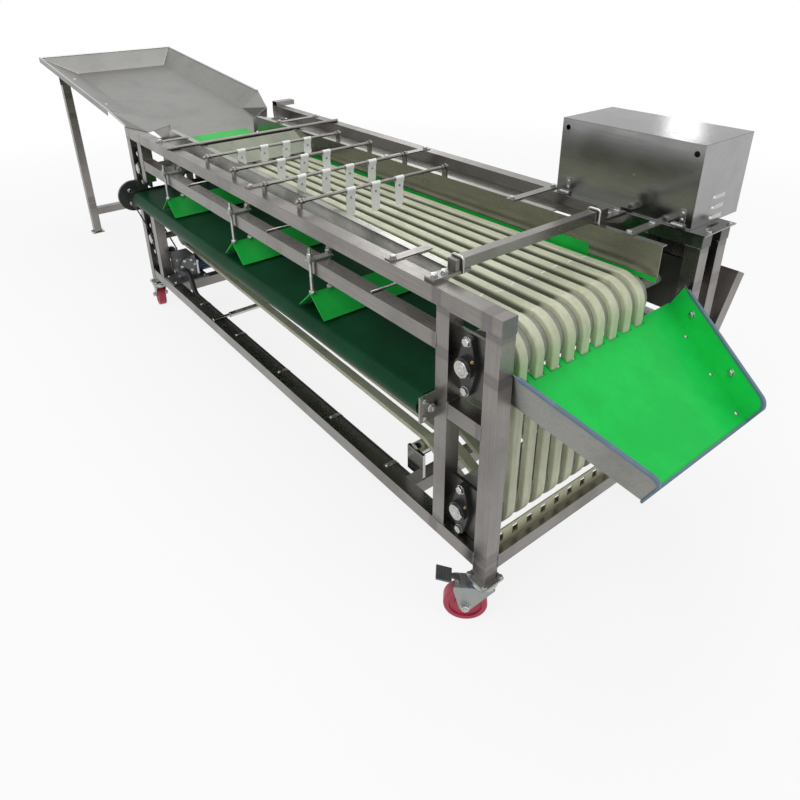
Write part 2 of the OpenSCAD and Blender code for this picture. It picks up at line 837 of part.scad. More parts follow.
module belt_supports() {
    deck_rod = (deck_z + drum_r - hanger_low - tube) / 2;
    sag_r = 6;
    color("silver") in_frame() {
        for (x = [-1440, -890, -400])
            rod_y(x, deck_z + drum_r - deck_rod, deck_rod, 4, frame_w - 4);
        rod_y(-1385, rail_top + sag_r, sag_r, 2, frame_w - 2);
        rod_y(-1385, rail_top + sag_r, sag_r + 4, 66, frame_w - 66);
        rod_y(idler_x, idler_z, idler_r, 70, 530);
        for (y = [62, 530])
            translate([idler_x - 18, y, rail_top]) cube([60, 8, idler_z - rail_top + 14]);
    }
}

// Gearbox with its motor and foot plate
module gear_motor() {
    box_x = gear_box_x;
    motor_r = 36;
    foot_t = 6;
    motor_z = rail_top + foot_t + motor_r;
    color("steelblue") in_frame() difference() {
        union() {
            translate([box_x - 25, tube + run_gap, rail_top]) cube([144, 114, foot_t]);
            translate([inner_l + tube + run_gap, 2, rail_top]) cube([100, tube, foot_t]);
            translate([box_x, gear_y - 35, rail_top + foot_t]) cube([90, 70, 92]);
            rod_x(gear_y, gear_z, 32, box_x - 8, box_x + 98);
            translate([box_x - 6, gear_y + 35, rail_top + foot_t]) cube([102, 7, 70]);
            rod_y(box_x + 45, motor_z, motor_r, gear_y + 42, gear_y + 160);
            rod_y(box_x + 45, motor_z, motor_r - 6, gear_y + 160, gear_y + 172);
        }
        rod_x(gear_y, gear_z, 9 + bore_gap, box_x - 30, box_x + 60);
    }
}

// Chain loops of the conveyor drive and the deck drive
module chains() {
    color("dimgray") in_frame() {
        loop_x(chain_x, chain_x + chain_w, [-nose_out, conv_z], [gear_y, gear_z],
            pinion_r + run_gap + chain_t, pinion_r + run_gap);
        translate([0, drive_y + drive_w, 0]) rotate([90, 0, 0]) linear_extrude(drive_w) difference() {
            stadium([out_x, deck_z], [out_x, drive_z], sprocket_r + run_gap + chain_t);
            stadium([out_x, deck_z], [out_x, drive_z], sprocket_r + run_gap);
        }
    }
}

// Geared motor under the drive cover
module drive_motor() {
    motor_r = 38;
    color("steelblue") in_frame() difference() {
        union() {
            translate([out_x - 45, drive_y + 18, base_z]) cube([90, 62, 100]);
            rod_x(drive_y + 49, base_z + 48, motor_r, out_x - 215, out_x - 45);
            translate([out_x - 180, drive_y + 24, base_z]) cube([100, 50, 14]);
        }
        rod_y(out_x, drive_z, 9 + bore_gap, drive_y, drive_y + 60);
    }
}

// Cable conduit swept along the inside of the near bottom rail
conduit_r = 10;
conduit_from = [gear_box_x + 99, 70, 235];
conduit_y = tube + conduit_r + 0.5;
conduit_z = rail_top - conduit_r - 1;
conduit_end = cross_mid_x - 0.5;
conduit_bend = 150;
function ease(t) = (1 - cos(180 * t)) / 2;
conduit_pts = concat(
    [for (t = [0 : 0.1 : 1]) [conduit_from[0] + conduit_bend * t,
        conduit_from[1] + (conduit_y - conduit_from[1]) * ease(t),
        conduit_from[2] + (conduit_z - conduit_from[2]) * ease(t)]],
    [for (x = [-1400, -1100, -800, -500, conduit_end]) [x, conduit_y, conduit_z]]);

function unit(v) = v / norm(v);
function heading(p, i) = unit(p[min(i + 1, len(p) - 1)] - p[max(i - 1, 0)]);
function ring(c, d, r, n) =
    let (s = unit(cross(d, [0, 0, 1])), u = cross(s, d))
    [for (k = [0 : n - 1]) c + r * (cos(k * 360 / n) * s + sin(k * 360 / n) * u)];

module conduit() {
    n = 12;
    m = len(conduit_pts);
    pts = [for (i = [0 : m - 1]) each ring(conduit_pts[i], heading(conduit_pts, i), conduit_r, n)];
    sides = [for (i = [0 : m - 2], k = [0 : n - 1])
        [i * n + k, (i + 1) * n + k, (i + 1) * n + (k + 1) % n, i * n + (k + 1) % n]];
    first = [for (k = [0 : n - 1]) k];
    last = [for (k = [n - 1 : -1 : 0]) (m - 1) * n + k];
    color("black") in_frame() polyhedron(points = pts, faces = concat([first], sides, [last]));
}

module caster_plates() {
    side = 60;
    plate = 6;
    color("lightgray") in_frame() for (c = caster_pos) translate([c[0], c[1], 0]) {
        translate([-side / 2, -side / 2, post_low - plate]) cube([side, side, plate]);
        translate([0, 0, post_low - plate - 11]) cylinder(r = 9, h = 11);
    }
}

module box_cover() {
    hole_r = 7;
    pitch = 25;
    slit_y = 73;
    slit_l = 52;
    slit_h = 5;
    color("silver") in_frame() difference() {
        union() {
            translate([cover_x, cover_y, base_z + 0.5]) difference() {
                cube([cover_len, cover_d, cover_h]);
                translate([cover_t, cover_t, -1])
                    cube([cover_len - 2 * cover_t, cover_d - 2 * cover_t, cover_h + 1 - cover_t]);
            }
            for (x = [cover_x + 16 + 15 + run_gap, cover_x + cover_len - 31 + run_gap])
                rod_x(hinge_y, hinge_z, hinge_r, x, x + 14);
        }
        for (x = [cover_x + 16, cover_x + cover_len - 46]) {
            rod_x(hinge_y, hinge_z, pin_r + bore_gap, x, x + 32);
            rod_x(hinge_y, hinge_z, hinge_r + run_gap, x - run_gap, x + 15 + run_gap);
        }
        for (x = [cover_x + 18, cover_x + cover_len - 18])
            rod_y(x, base_z + cover_h - 22, hole_r, cover_y - 1, cover_y + cover_t + 1);
        for (i = [0 : 2])
            translate([cover_x + cover_len - 4, cover_y + slit_y, base_z + 10 + i * pitch])
                cube([8, slit_l, slit_h]);
    }
}

// Grooved roller: shaft, core and ridges between the belts
module grooved(x, z, pitch) {
    groove = belt_w + 1;
    land = pitch - groove;
    first = belt_mid - (belt_count - 1) / 2 * pitch - groove / 2;
    rod_y(x, z, shaft_r, 3, frame_w - 3);
    rod_y(x, z, drum_r - run_gap, first - land, first + belt_count * pitch);
    for (i = [0 : belt_count])
        rod_y(x, z, drum_r + ridge_h, first - land + i * pitch, first + i * pitch);
}

// Sprocket disc with teeth, along Z
module sprocket(r, thick, teeth) {
    difference() {
        cylinder(r = r, h = thick);
        for (k = [0 : teeth - 1])
            rotate(k * 360 / teeth) translate([r + 1, 0, -1]) cylinder(r = 4, h = thick + 2, $fn = 24);
    }
}

module discharge_roller() {
    color("whitesmoke") in_frame() {
        grooved(out_x, deck_z, pitch_out);
        rod_y(out_x, deck_z, shaft_r, frame_w - 4, drive_y + drive_w + 6);
        translate([out_x, drive_y + drive_w, deck_z]) rotate([90, 0, 0]) sprocket(sprocket_r, drive_w, 20);
    }
}

module low_right_roller() {
    color("whitesmoke") in_frame() grooved(out_x, low_right_z, pitch_out);
}

module infeed_roller() {
    color("whitesmoke") in_frame() grooved(in_x, deck_z, pitch_in);
}

module low_left_roller() {
    color("whitesmoke") in_frame() grooved(in_x, low_left_z, pitch_in);
}

module nose_roller() {
    color("lightgray") in_frame() {
        rod_x(-nose_out, conv_z, conv_roller_r, conv_x0 + 1, conv_x1 - 1);
        rod_x(-nose_out, conv_z, conv_shaft_r, -frame_len - 9, inner_r - tube - run_gap);
        translate([chain_x, -nose_out, conv_z]) rotate([0, 90, 0]) sprocket(pinion_r, chain_w, 14);
    }
}

module tail_roller() {
    color("lightgray") in_frame() {
        rod_x(tail_y, conv_z, conv_roller_r, conv_x0 + 1, conv_x1 - 1);
        rod_x(tail_y, conv_z, conv_shaft_r, -frame_len + tube, inner_r - tube - run_gap);
    }
}

module gear_sprocket() {
    color("dimgray") in_frame() {
        translate([chain_x, gear_y, gear_z]) rotate([0, 90, 0]) sprocket(pinion_r, chain_w, 14);
        rod_x(gear_y, gear_z, 9, chain_x, gear_box_x + 50);
    }
}

module drive_sprocket() {
    color("dimgray") in_frame() {
        translate([out_x, drive_y + drive_w, drive_z]) rotate([90, 0, 0]) sprocket(sprocket_r, drive_w, 20);
        rod_y(out_x, drive_z, 9, drive_y, drive_y + 55);
    }
}

// Levelling rod with its hanging strips
module level_row(k) {
    strip_t = 3;
    hole_r = 3;
    long = strip_l + strip_more[k];
    color("whitesmoke") in_frame() translate([row_x[k], 0, rod_z]) {
        rod_y(0, 0, rod_r, 10, 522);
        for (y = row_y[k]) difference() {
            union() {
                translate([-strip_t / 2, y - strip_w / 2, -long]) cube([strip_t, strip_w, long]);
                rod_y(0, 0, rod_r + 3, y - strip_w / 2, y + strip_w / 2);
            }
            for (d = [0.45, 0.75])
                translate([-strip_t, y, -long * d]) rotate([0, 90, 0]) cylinder(r = hole_r, h = 3 * strip_t);
        }
    }
}

module level_row_1() {
    level_row(0);
}

module level_row_2() {
    level_row(1);
}

module level_row_3() {
    level_row(2);
}

module level_row_4() {
    level_row(3);
}

// Divider tent with the threaded rods and saddles that hang it from the rails
module tent(k) {
    skin = 2.5;
    half = tent_w / 2;
    rise = skin / cos(atan2(tent_h, half));
    rail = hanger_low + tube;
    rod_low = tent_z + tent_h - skin;
    rod_top = rail + 36;
    reach = 8;
    color("limegreen") in_frame() translate([tent_x[k], 0, 0]) {
        translate([0, tent_end, tent_z]) rotate([90, 0, 0]) linear_extrude(tent_end + 15)
            polygon([[-half, 0], [0, tent_h], [half, 0], [half - 1.5 * skin, 0],
                [0, tent_h - rise], [-half + 1.5 * skin, 0]]);
        for (y = [-reach, tube + reach, far_y - reach]) {
            translate([0, y, rod_low]) cylinder(r = tent_rod_r, h = rod_top - rod_low);
        }
        translate([-12, -reach - 8, rail + run_gap]) cube([24, tube + 2 * reach + 16, saddle_t]);
        translate([-12, far_y - reach - 8, rail + run_gap]) cube([24, tube + reach, saddle_t]);
    }
}

module tent_1() {
    tent(0);
}

module tent_2() {
    tent(1);
}

module tent_3() {
    tent(2);
}

// Caster parts stand on the swivel axis and trail along local X
module on_caster(k) {
    in_frame() translate([caster_pos[k][0], caster_pos[k][1], 0]) rotate([0, 0, caster_pos[k][2]]) children();
}

cheek_t = 3;
crown_z = 105;
axle_r = 6;
pedal_x = 60;
pedal_z = 115.5;

module fork(k) {
    gap = wheel_w / 2 + 1.5;
    color("lightslategray") on_caster(k) difference() {
        union() {
            translate([0, 0, crown_z]) cylinder(r = 27, h = post_low - 6 - run_gap - crown_z);
            translate([0, -gap - cheek_t, crown_z]) cube([pedal_x + 6, 2 * (gap + cheek_t), 4]);
            for (s = [-1, 1]) translate([0, s * (gap + cheek_t / 2) + cheek_t / 2, 0]) rotate([90, 0, 0])
                linear_extrude(cheek_t) {
                    translate([trail, wheel_r]) circle(r = 15);
                    polygon([[-24, crown_z], [-24, crown_z + 4], [pedal_x + 8, crown_z + 4],
                        [pedal_x + 8, crown_z - 8], [trail + 14, wheel_r - 4], [trail - 14, wheel_r - 6]]);
                }
            for (s = [-1, 1]) translate([pedal_x, s * 9, pedal_z]) rotate([90, 0, 0])
                cylinder(r = 5, h = 4, center = true);
            for (s = [-1, 1]) translate([pedal_x - 5, s * 9 - 2, crown_z + 3]) cube([10, 4, pedal_z - crown_z - 3]);
            translate([trail, gap + cheek_t, wheel_r]) rotate([90, 0, 0])
                cylinder(r = axle_r, h = 2 * (gap + cheek_t));
            translate([pedal_x, 10, pedal_z]) rotate([90, 0, 0]) cylinder(r = 2, h = 20);
        }
        translate([0, 0, crown_z - 1]) cylinder(r = 9 + bore_gap, h = 40);
    }
}

module fork_1() {
    fork(0);
}

module fork_2() {
    fork(1);
}

module fork_3() {
    fork(2);
}

module fork_4() {
    fork(3);
}

module wheel(k) {
    color("crimson") on_caster(k) translate([trail, 0, wheel_r]) rotate([90, 0, 0]) rotate_extrude() {
        crown = 5;
        bore = axle_r + bore_gap;
        difference() {
            union() {
                translate([bore, -wheel_w / 2]) square([wheel_r - crown - bore, wheel_w]);
                translate([wheel_r - crown - 1, crown - wheel_w / 2]) square([crown + 1, wheel_w - 2 * crown]);
                for (s = [-1, 1])
                    translate([wheel_r - crown, s * (wheel_w / 2 - crown)]) circle(r = crown);
            }
            for (s = [-1, 1])
                translate([24, s * wheel_w / 2 - 4]) square([14, 8]);
        }
    }
}

module wheel_1() {
    wheel(0);
}

module wheel_2() {
    wheel(1);
}

module wheel_3() {
    wheel(2);
}

module wheel_4() {
    wheel(3);
}

// Brake pedal on its cross pin
module pedal(k) {
    width = 6.4;
    rise = 0.4;
    pad_t = 5;
    tilt = -14;
    color("dimgray") on_caster(k) translate([pedal_x, 0, pedal_z]) difference() {
        union() {
            rotate([90, 0, 0]) cylinder(r = 6, h = 2 * width, center = true);
            rotate([0, tilt, 0]) translate([0, 0.2 - width, rise]) cube([16, 2 * width - 0.4, pad_t]);
            rotate([0, tilt, 0]) translate([14, -19, rise]) cube([36, 38, pad_t]);
        }
        rotate([90, 0, 0]) cylinder(r = 2 + bore_gap, h = 60, center = true);
    }
}

module pedal_1() {
    pedal(0);
}

module pedal_2() {
    pedal(1);
}

posts();
long_rails();
cross_rails();
outrigger();
end_caps();
window_strip();
top_plate();
side_channel();
tray_pan();
tray_legs();
tray_lip();
tray_supports();
side_guides();
brackets();
tie_bars();
feed_plate();
chute_shell();
chute_lining();
chute_trim();
conveyor_frame();
conveyor_belt();
nose_cover();
bearing_plates();
bearings();
belts_top();
belts_wraps();
belts_end_runs();
belts_return();
belt_supports();
gear_motor();
chains();
drive_motor();
conduit();
caster_plates();
box_cover();
discharge_roller();
low_right_roller();
infeed_roller();
low_left_roller();
nose_roller();
tail_roller();
gear_sprocket();
drive_sprocket();
level_row_1();
level_row_2();
level_row_3();
level_row_4();
tent_1();
tent_2();
tent_3();
fork_1();
fork_2();
fork_3();
fork_4();
wheel_1();
wheel_2();
wheel_3();
wheel_4();
pedal_1();
pedal_2();
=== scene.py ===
"""Looks of a belt fruit grader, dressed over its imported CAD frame.

Sizes in the classes are millimetres in the maker's own layout: x runs back from the
discharge end, y from the near rail, z from the floor. `world` turns them into scene metres.
"""
import logging
import math
from dataclasses import dataclass
from enum import Enum
from functools import cached_property, reduce
from itertools import pairwise, product
from typing import Any, Optional, Sequence, Union

import bmesh
import bpy
import numpy as np
from mathutils import Matrix

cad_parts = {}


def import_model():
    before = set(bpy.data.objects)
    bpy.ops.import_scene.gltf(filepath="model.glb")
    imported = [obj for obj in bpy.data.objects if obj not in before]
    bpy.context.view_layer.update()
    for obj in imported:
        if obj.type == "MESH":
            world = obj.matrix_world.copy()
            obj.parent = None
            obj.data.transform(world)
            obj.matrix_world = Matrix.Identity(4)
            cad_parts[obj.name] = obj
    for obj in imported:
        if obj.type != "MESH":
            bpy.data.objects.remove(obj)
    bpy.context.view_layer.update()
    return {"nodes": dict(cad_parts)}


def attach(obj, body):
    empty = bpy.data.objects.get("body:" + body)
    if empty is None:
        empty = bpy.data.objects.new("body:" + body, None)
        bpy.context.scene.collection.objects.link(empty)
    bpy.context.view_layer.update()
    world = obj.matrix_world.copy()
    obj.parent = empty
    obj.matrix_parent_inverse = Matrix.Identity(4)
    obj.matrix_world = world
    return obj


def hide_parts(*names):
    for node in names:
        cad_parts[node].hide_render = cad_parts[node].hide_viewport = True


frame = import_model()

LOG = logging.getLogger("grader")
MM = 0.001
LAYOUT_ORIGIN = np.array([1.5136766, -0.4059249, 0.0])
BOTH = (-1, 1)
UP = (0, 0, 1)
DOWN_Y, UP_Y = (0, -1, 0), (0, 1, 0)
RGB = tuple[float, float, float]
Spot = tuple[float, float, float]
Points = Sequence[Sequence[float]]


def world(points: Any) -> np.ndarray:
    """Layout millimetres as scene metres.

    Args:
        points: one point or an array of points.

    Returns:
        The same points scaled by a thousandth and moved to the frame's origin.
    """
    return np.asarray(points, dtype=float) * MM + LAYOUT_ORIGIN


def unit(vectors: Any) -> np.ndarray:
    """One vector, or each of several, scaled to length one."""
    array = np.asarray(vectors, dtype=float)
    return array / np.linalg.norm(array, axis=-1, keepdims=True)


def arc(angle: Any, across: float = 1.0, up: Optional[float] = None) -> np.ndarray:
    """Points of an ellipse at angles in radians, as (across, up) rows."""
    return np.column_stack([across * np.cos(angle), (up or across) * np.sin(angle)])


def circle(count: int, across: float = 1.0, up: Optional[float] = None) -> np.ndarray:
    """Evenly spaced points once round an ellipse."""
    return arc(np.linspace(0.0, 2 * np.pi, count, endpoint=False), across, up)


def oblong(across: float, up: float) -> Points:
    """Corners of a flat section by its half sizes."""
    return [(-across, -up), (across, -up), (across, up), (-across, up)]


def foursquare(x: float, y: float, z: float, half: float = 24.5) -> list[Spot]:
    """Corners of a level square round a point."""
    return [(x + sx * half, y + sy * half, z) for sx, sy in product(BOTH, BOTH)]


def scaled(tone: RGB, factor: float) -> RGB:
    """A tone made lighter or darker."""
    return tuple(factor * c for c in tone)


def linked(name: str, data: Any) -> bpy.types.Object:
    """A new object in the scene."""
    made = bpy.data.objects.new(name, data)
    bpy.context.scene.collection.objects.link(made)
    return made


class Axis(Enum):
    """Direction that a brushed grain, a weld plane or a ripple follows."""

    X = 0
    Y = 1
    Z = 2


class Wire:
    """A socket's value; arithmetic on it adds Math nodes to its graph."""

    def __init__(self, graph: "Graph", socket: bpy.types.NodeSocket) -> None:
        """Keeps the graph and the socket."""
        self.graph = graph
        self.socket = socket

    def math(self, operation: str, *values: Any) -> "Wire":
        """One Math node on the values."""
        return self.graph.node("ShaderNodeMath", {"operation": operation}, dict(enumerate(values)))

    def __add__(self, other: Any) -> "Wire":
        """Sum, with a number on either side."""
        return self.math("ADD", self, other)

    def __sub__(self, other: Any) -> "Wire":
        """Difference."""
        return self.math("SUBTRACT", self, other)

    def __rsub__(self, other: Any) -> "Wire":
        """Difference from a number on the left."""
        return self.math("SUBTRACT", other, self)

    def __mul__(self, other: Any) -> "Wire":
        """Product, with a number on either side."""
        return self.math("MULTIPLY", self, other)

    __radd__ = __add__
    __rmul__ = __mul__

    def __abs__(self) -> "Wire":
        """Size without sign."""
        return self.math("ABSOLUTE", self)

    def sine(self) -> "Wire":
        """Sine of the value in radians."""
        return self.math("SINE", self)

    def larger(self, other: Any) -> "Wire":
        """The larger of two values."""
        return self.math("MAXIMUM", self, other)

    def ease(self, low: float, high: float) -> "Wire":
        """Smooth step from 0 at low to 1 at high; low may be the larger one."""
        smooth = {"interpolation_type": "SMOOTHSTEP"}
        return self.graph.node("ShaderNodeMapRange", smooth, {"Value": self, "From Min": low, "From Max": high})


Value = Union[Wire, float, RGB]


class Graph:
    """Node tree of a material or the world, on Object coordinates."""

    def __init__(self, owner: Any, output: str = "ShaderNodeOutputMaterial") -> None:
        """Empties the owner's tree down to its output."""
        owner.use_nodes = True
        self.owner = owner
        self.tree = owner.node_tree
        self.tree.nodes.clear()
        self.out = self.tree.nodes.new(output)

    @cached_property
    def place(self) -> Wire:
        """Object coordinates of the surface point."""
        return self.node("ShaderNodeTexCoord", output="Object")

    def feed(self, socket: bpy.types.NodeSocket, value: Any) -> None:
        """Links a wire to a socket, or sets the socket's own value."""
        if isinstance(value, Wire):
            self.tree.links.new(value.socket, socket)
        else:
            socket.default_value = (*value, 1.0) if socket.type == "RGBA" else value

    def node(
        self,
        kind: str,
        settings: Optional[dict[str, Any]] = None,
        inputs: Optional[dict[Any, Any]] = None,
        output: Union[int, str] = 0,
    ) -> Wire:
        """Adds any node.

        Args:
            kind: the node's type name.
            settings: its properties; "stops" holds a colour ramp's (place, colour) pairs.
            inputs: values or wires by socket name or number.
            output: the socket to return.

        Returns:
            The chosen output as a wire.
        """
        made = self.tree.nodes.new(kind)
        for key, value in (settings or {}).items():
            if key == "stops":
                ramp = made.color_ramp.elements
                for _ in range(len(value) - len(ramp)):
                    ramp.new(0.5)
                for element, (position, colour) in zip(ramp, value):
                    element.position = position
                    element.color = (*colour, 1.0)
            else:
                setattr(made, key, value)
        for key, value in (inputs or {}).items():
            self.feed(made.inputs[key], value)
        return Wire(self, made.outputs[output])

    def along(self, axis: Axis) -> Wire:
        """One coordinate of the surface point, in metres."""
        return self.node("ShaderNodeSeparateXYZ", None, {0: self.place}, axis.value)

    def drawn(self, axis: Axis, along: float, across: float) -> Wire:
        """Object coordinates scaled by one number along an axis and by another across it."""
        scale = tuple(along if each is axis else across for each in Axis)
        return self.node("ShaderNodeMapping", None, {"Vector": self.place, "Scale": scale})

    def noise(self, scale: float, detail: float, rough: float, vector: Optional[Wire] = None) -> Wire:
        """Cloudy noise from 0 to 1."""
        inputs = {"Vector": vector or self.place, "Scale": scale, "Detail": detail, "Roughness": rough}
        return self.node("ShaderNodeTexNoise", None, inputs)

    def cells(self, scale: float, output: str = "Distance") -> Wire:
        """Voronoi cells: distance to the cell's middle, or its colour."""
        return self.node("ShaderNodeTexVoronoi", None, {"Vector": self.place, "Scale": scale}, output)

    def blend(self, first: Value, second: Value, factor: Value) -> Wire:
        """Mixes two colours."""
        return self.node("ShaderNodeMix", {"data_type": "RGBA"}, {0: factor, 6: first, 7: second}, 2)

    def bump(self, height: Wire, strength: float, distance: float) -> Wire:
        """Normal tilted by a height, with the distance in metres."""
        return self.node("ShaderNodeBump", None, {"Strength": strength, "Distance": distance, "Height": height})

    def seen(self) -> Wire:
        """1 on rays from the camera, in reflections and through clear pieces."""
        kinds = ("Camera", "Glossy", "Transmission")
        return reduce(Wire.larger, [self.node("ShaderNodeLightPath", output=f"Is {kind} Ray") for kind in kinds])

    def mixed(self, factor: Wire, first: Wire, second: Wire) -> Wire:
        """Mixes two shaders."""
        return self.node("ShaderNodeMixShader", None, {0: factor, 1: first, 2: second})

    def principled(self, **inputs: Value) -> Wire:
        """The main shader, fed by socket name with _ for blanks."""
        named = {key.replace("_", " "): value for key, value in inputs.items()}
        return self.node("ShaderNodeBsdfPrincipled", None, named)

    def surface(self, shader: Wire) -> Any:
        """Links a shader to the output and returns the tree's owner."""
        self.feed(self.out.inputs["Surface"], shader)
        return self.owner


@dataclass(frozen=True)
class Finish:
    """A named finish; each kind says in `paint` what feeds its shader."""

    name: str

    def paint(self, g: Graph) -> dict[str, Value]:
        """Inputs of the main shader."""
        raise NotImplementedError

    def build(self) -> bpy.types.Material:
        """The finish as a material."""
        g = Graph(bpy.data.materials.new(self.name))
        return g.surface(g.principled(**self.paint(g)))


@dataclass(frozen=True)
class Stainless(Finish):
    """Satin stainless: brushed along one axis, with water stains and heat tint by its welds.

    Above a given height in metres, the sheet gets painted shade that dims the bright reflection on its top.
    """

    grain: Axis
    tone: RGB = (0.225, 0.213, 0.200)
    rough: float = 0.27
    stain: float = 0.5
    welds: tuple[tuple[Axis, float], ...] = ()
    shaded_over: Optional[float] = None

    def paint(self, g: Graph) -> dict[str, Value]:
        """Streaks are noise drawn out along the grain; stains are broad noise that dulls and darkens."""
        grain = g.drawn(self.grain, 5.0, 620.0)
        streak = g.noise(1.0, 3.0, 0.6, grain)
        fine = g.noise(2.6, 2.0, 0.5, grain)
        cloud = g.noise(5.5, 5.0, 0.6)
        spots = g.noise(38.0, 3.0, 0.7).ease(0.60, 0.74)
        stain = cloud.ease(0.42, 0.72) * self.stain
        colour = g.blend(scaled(self.tone, 1.22), self.tone, streak.ease(0.3, 0.75))
        colour = g.blend(colour, scaled(self.tone, 0.62), stain)
        colour = g.blend(colour, (0.16, 0.145, 0.12), spots * (0.35 * self.stain))
        if self.shaded_over is not None:
            # painted shade: above the height the colour darkens, to dim the reflection on the top
            film = g.along(Axis.Z).ease(self.shaded_over - 0.001, self.shaded_over) * (0.75 + cloud * 0.3)
            colour = g.blend(colour, scaled(self.tone, 0.36), film)
        if self.welds:
            drift = (cloud - 0.5) * 0.016
            reach = [abs(g.along(axis) - metres + drift).ease(0.024, 0.003) for axis, metres in self.welds]
            near = reduce(Wire.larger, reach)
            straw, violet, grey = (0.24, 0.17, 0.115), (0.13, 0.105, 0.125), (0.17, 0.165, 0.16)
            stops = ((0.0, self.tone), (0.35, straw), (0.7, violet), (1.0, grey))
            colour = g.blend(colour, g.node("ShaderNodeValToRGB", {"stops": stops}, {0: near}), near * 0.75)
        return dict(
            Base_Color=colour,
            Metallic=1.0,
            Roughness=self.rough + (streak - 0.5) * 0.16 + stain * 0.18 + spots * 0.1,
            Normal=g.bump(streak * 0.6 + fine * 0.4, 0.16, 0.0004),
        )


@dataclass(frozen=True)
class GreenSheet(Finish):
    """Smooth green plastic sheet, scuffed by fruit along one axis."""

    tone: RGB
    shade: RGB
    scuff: Axis
    rough: float = 0.34

    def paint(self, g: Graph) -> dict[str, Value]:
        """Scuffs are thin stretched noise that pales and roughens; dust gathers in broad clouds."""
        scuff = g.noise(1.0, 5.0, 0.7, g.drawn(self.scuff, 9.0, 260.0)).ease(0.56, 0.72)
        cloud = g.noise(7.0, 4.0, 0.6)
        dust = g.noise(95.0, 3.0, 0.7).ease(0.55, 0.8) * cloud.ease(0.4, 0.65)
        pale = tuple(0.8 * c + 0.10 for c in self.tone)
        colour = g.blend(self.tone, self.shade, cloud.ease(0.38, 0.68))
        height = g.noise(420.0, 2.0, 0.5) * 0.5 - scuff * 0.5
        return dict(
            Base_Color=g.blend(colour, pale, scuff * 0.16 + dust * 0.12),
            Roughness=self.rough + scuff * 0.14 + dust * 0.2,
            Normal=g.bump(height, 0.12, 0.0003),
            Specular_IOR_Level=0.22,
        )


@dataclass(frozen=True)
class CreamBelt(Finish):
    """Cast polyurethane belt: cream, faintly translucent, dirty in streaks along its run.

    Below a given height in metres, the belts' sides get painted shade, as the gaps between belts lie in shadow, up
    to the discharge end.
    """

    grain: Axis
    light: float = 1.0
    shaded_below: Optional[float] = None

    def paint(self, g: Graph) -> dict[str, Value]:
        """Grime is noise drawn out along the run; a mould ripple lies across it."""
        grime = g.noise(1.0, 5.0, 0.65, g.drawn(self.grain, 4.0, 70.0)).ease(0.46, 0.76)
        cloud = g.noise(11.0, 4.0, 0.6)
        specks = g.noise(230.0, 2.0, 0.6).ease(0.66, 0.76)
        ripple = (g.along(self.grain) * 520.0 + cloud * 4.0).sine()
        # painted light: light scales the belt's colour, so runs that catch more light are painted lighter
        clean, dull = (scaled(tone, self.light) for tone in ((0.57, 0.585, 0.43), (0.48, 0.49, 0.345)))
        colour = g.blend(clean, dull, cloud.ease(0.35, 0.7))
        colour = g.blend(colour, (0.35, 0.345, 0.23), grime * 0.42)
        colour = g.blend(colour, (0.22, 0.19, 0.12), specks * 0.35)
        if self.shaded_below is not None:
            # painted shade on the belts' sides below their tops, for the shadowed gaps between belts
            gap_shade = g.along(Axis.Z).ease(self.shaded_below, self.shaded_below - 0.007) * g.along(Axis.X).ease(1.415, 1.395)
            colour = g.blend(colour, (0.05, 0.05, 0.03), gap_shade * 0.85)
        height = ripple * 0.25 + g.noise(500.0, 3.0, 0.6) * 0.5
        return dict(
            Base_Color=colour,
            Roughness=0.40 + grime * 0.22,
            Normal=g.bump(height, 0.13, 0.0004),
            Subsurface_Weight=0.12,
            Subsurface_Radius=(0.006, 0.005, 0.003),
            Subsurface_Scale=0.5,
        )


@dataclass(frozen=True)
class ConveyorBelting(Finish):
    """Dark green belting with a fine pressed weave and a polished track."""

    def paint(self, g: Graph) -> dict[str, Value]:
        """Two crossed sine waves press the weave; scuffs run in the belt's travel."""
        threads = 2600.0
        x, y, z = (g.along(axis) * threads for axis in Axis)
        weave = x.sine() * (y + z).sine()
        cloud = g.noise(6.0, 5.0, 0.6)
        scuff = g.noise(1.0, 5.0, 0.7, g.drawn(Axis.X, 160.0, 5.0)).ease(0.5, 0.74)
        wet = g.noise(3.2, 3.0, 0.5).ease(0.45, 0.7)
        colour = g.blend((0.003, 0.056, 0.020), (0.002, 0.038, 0.013), cloud.ease(0.35, 0.7))
        height = weave * 0.35 + g.noise(60.0, 3.0, 0.6) * 0.4
        return dict(
            Base_Color=g.blend(colour, (0.012, 0.09, 0.04), scuff * 0.3),
            Roughness=0.42 + scuff * 0.16 - wet * 0.1,
            Normal=g.bump(height, 0.12, 0.0004),
            Specular_IOR_Level=0.1,
        )


@dataclass(frozen=True)
class Moulded(Finish):
    """Moulded rubber or plastic in one tone, with a skin grain, dust and rubbed patches."""

    tone: RGB
    worn: RGB
    rough: float = 0.5
    grain: float = 420.0

    def paint(self, g: Graph) -> dict[str, Value]:
        """Skin grain is fine cells; rubbed patches are cloud noise."""
        rubbed = g.noise(16.0, 5.0, 0.65).ease(0.48, 0.72)
        dust = g.noise(150.0, 3.0, 0.7).ease(0.52, 0.78)
        colour = g.blend(self.tone, self.worn, rubbed * 0.55)
        height = g.cells(self.grain) * 0.5 + g.noise(90.0, 3.0, 0.5) * 0.5
        return dict(
            Base_Color=g.blend(colour, (0.45, 0.42, 0.36), dust * 0.12),
            Roughness=self.rough + dust * 0.15 - rubbed * 0.08,
            Normal=g.bump(height, 0.14, 0.0004),
        )


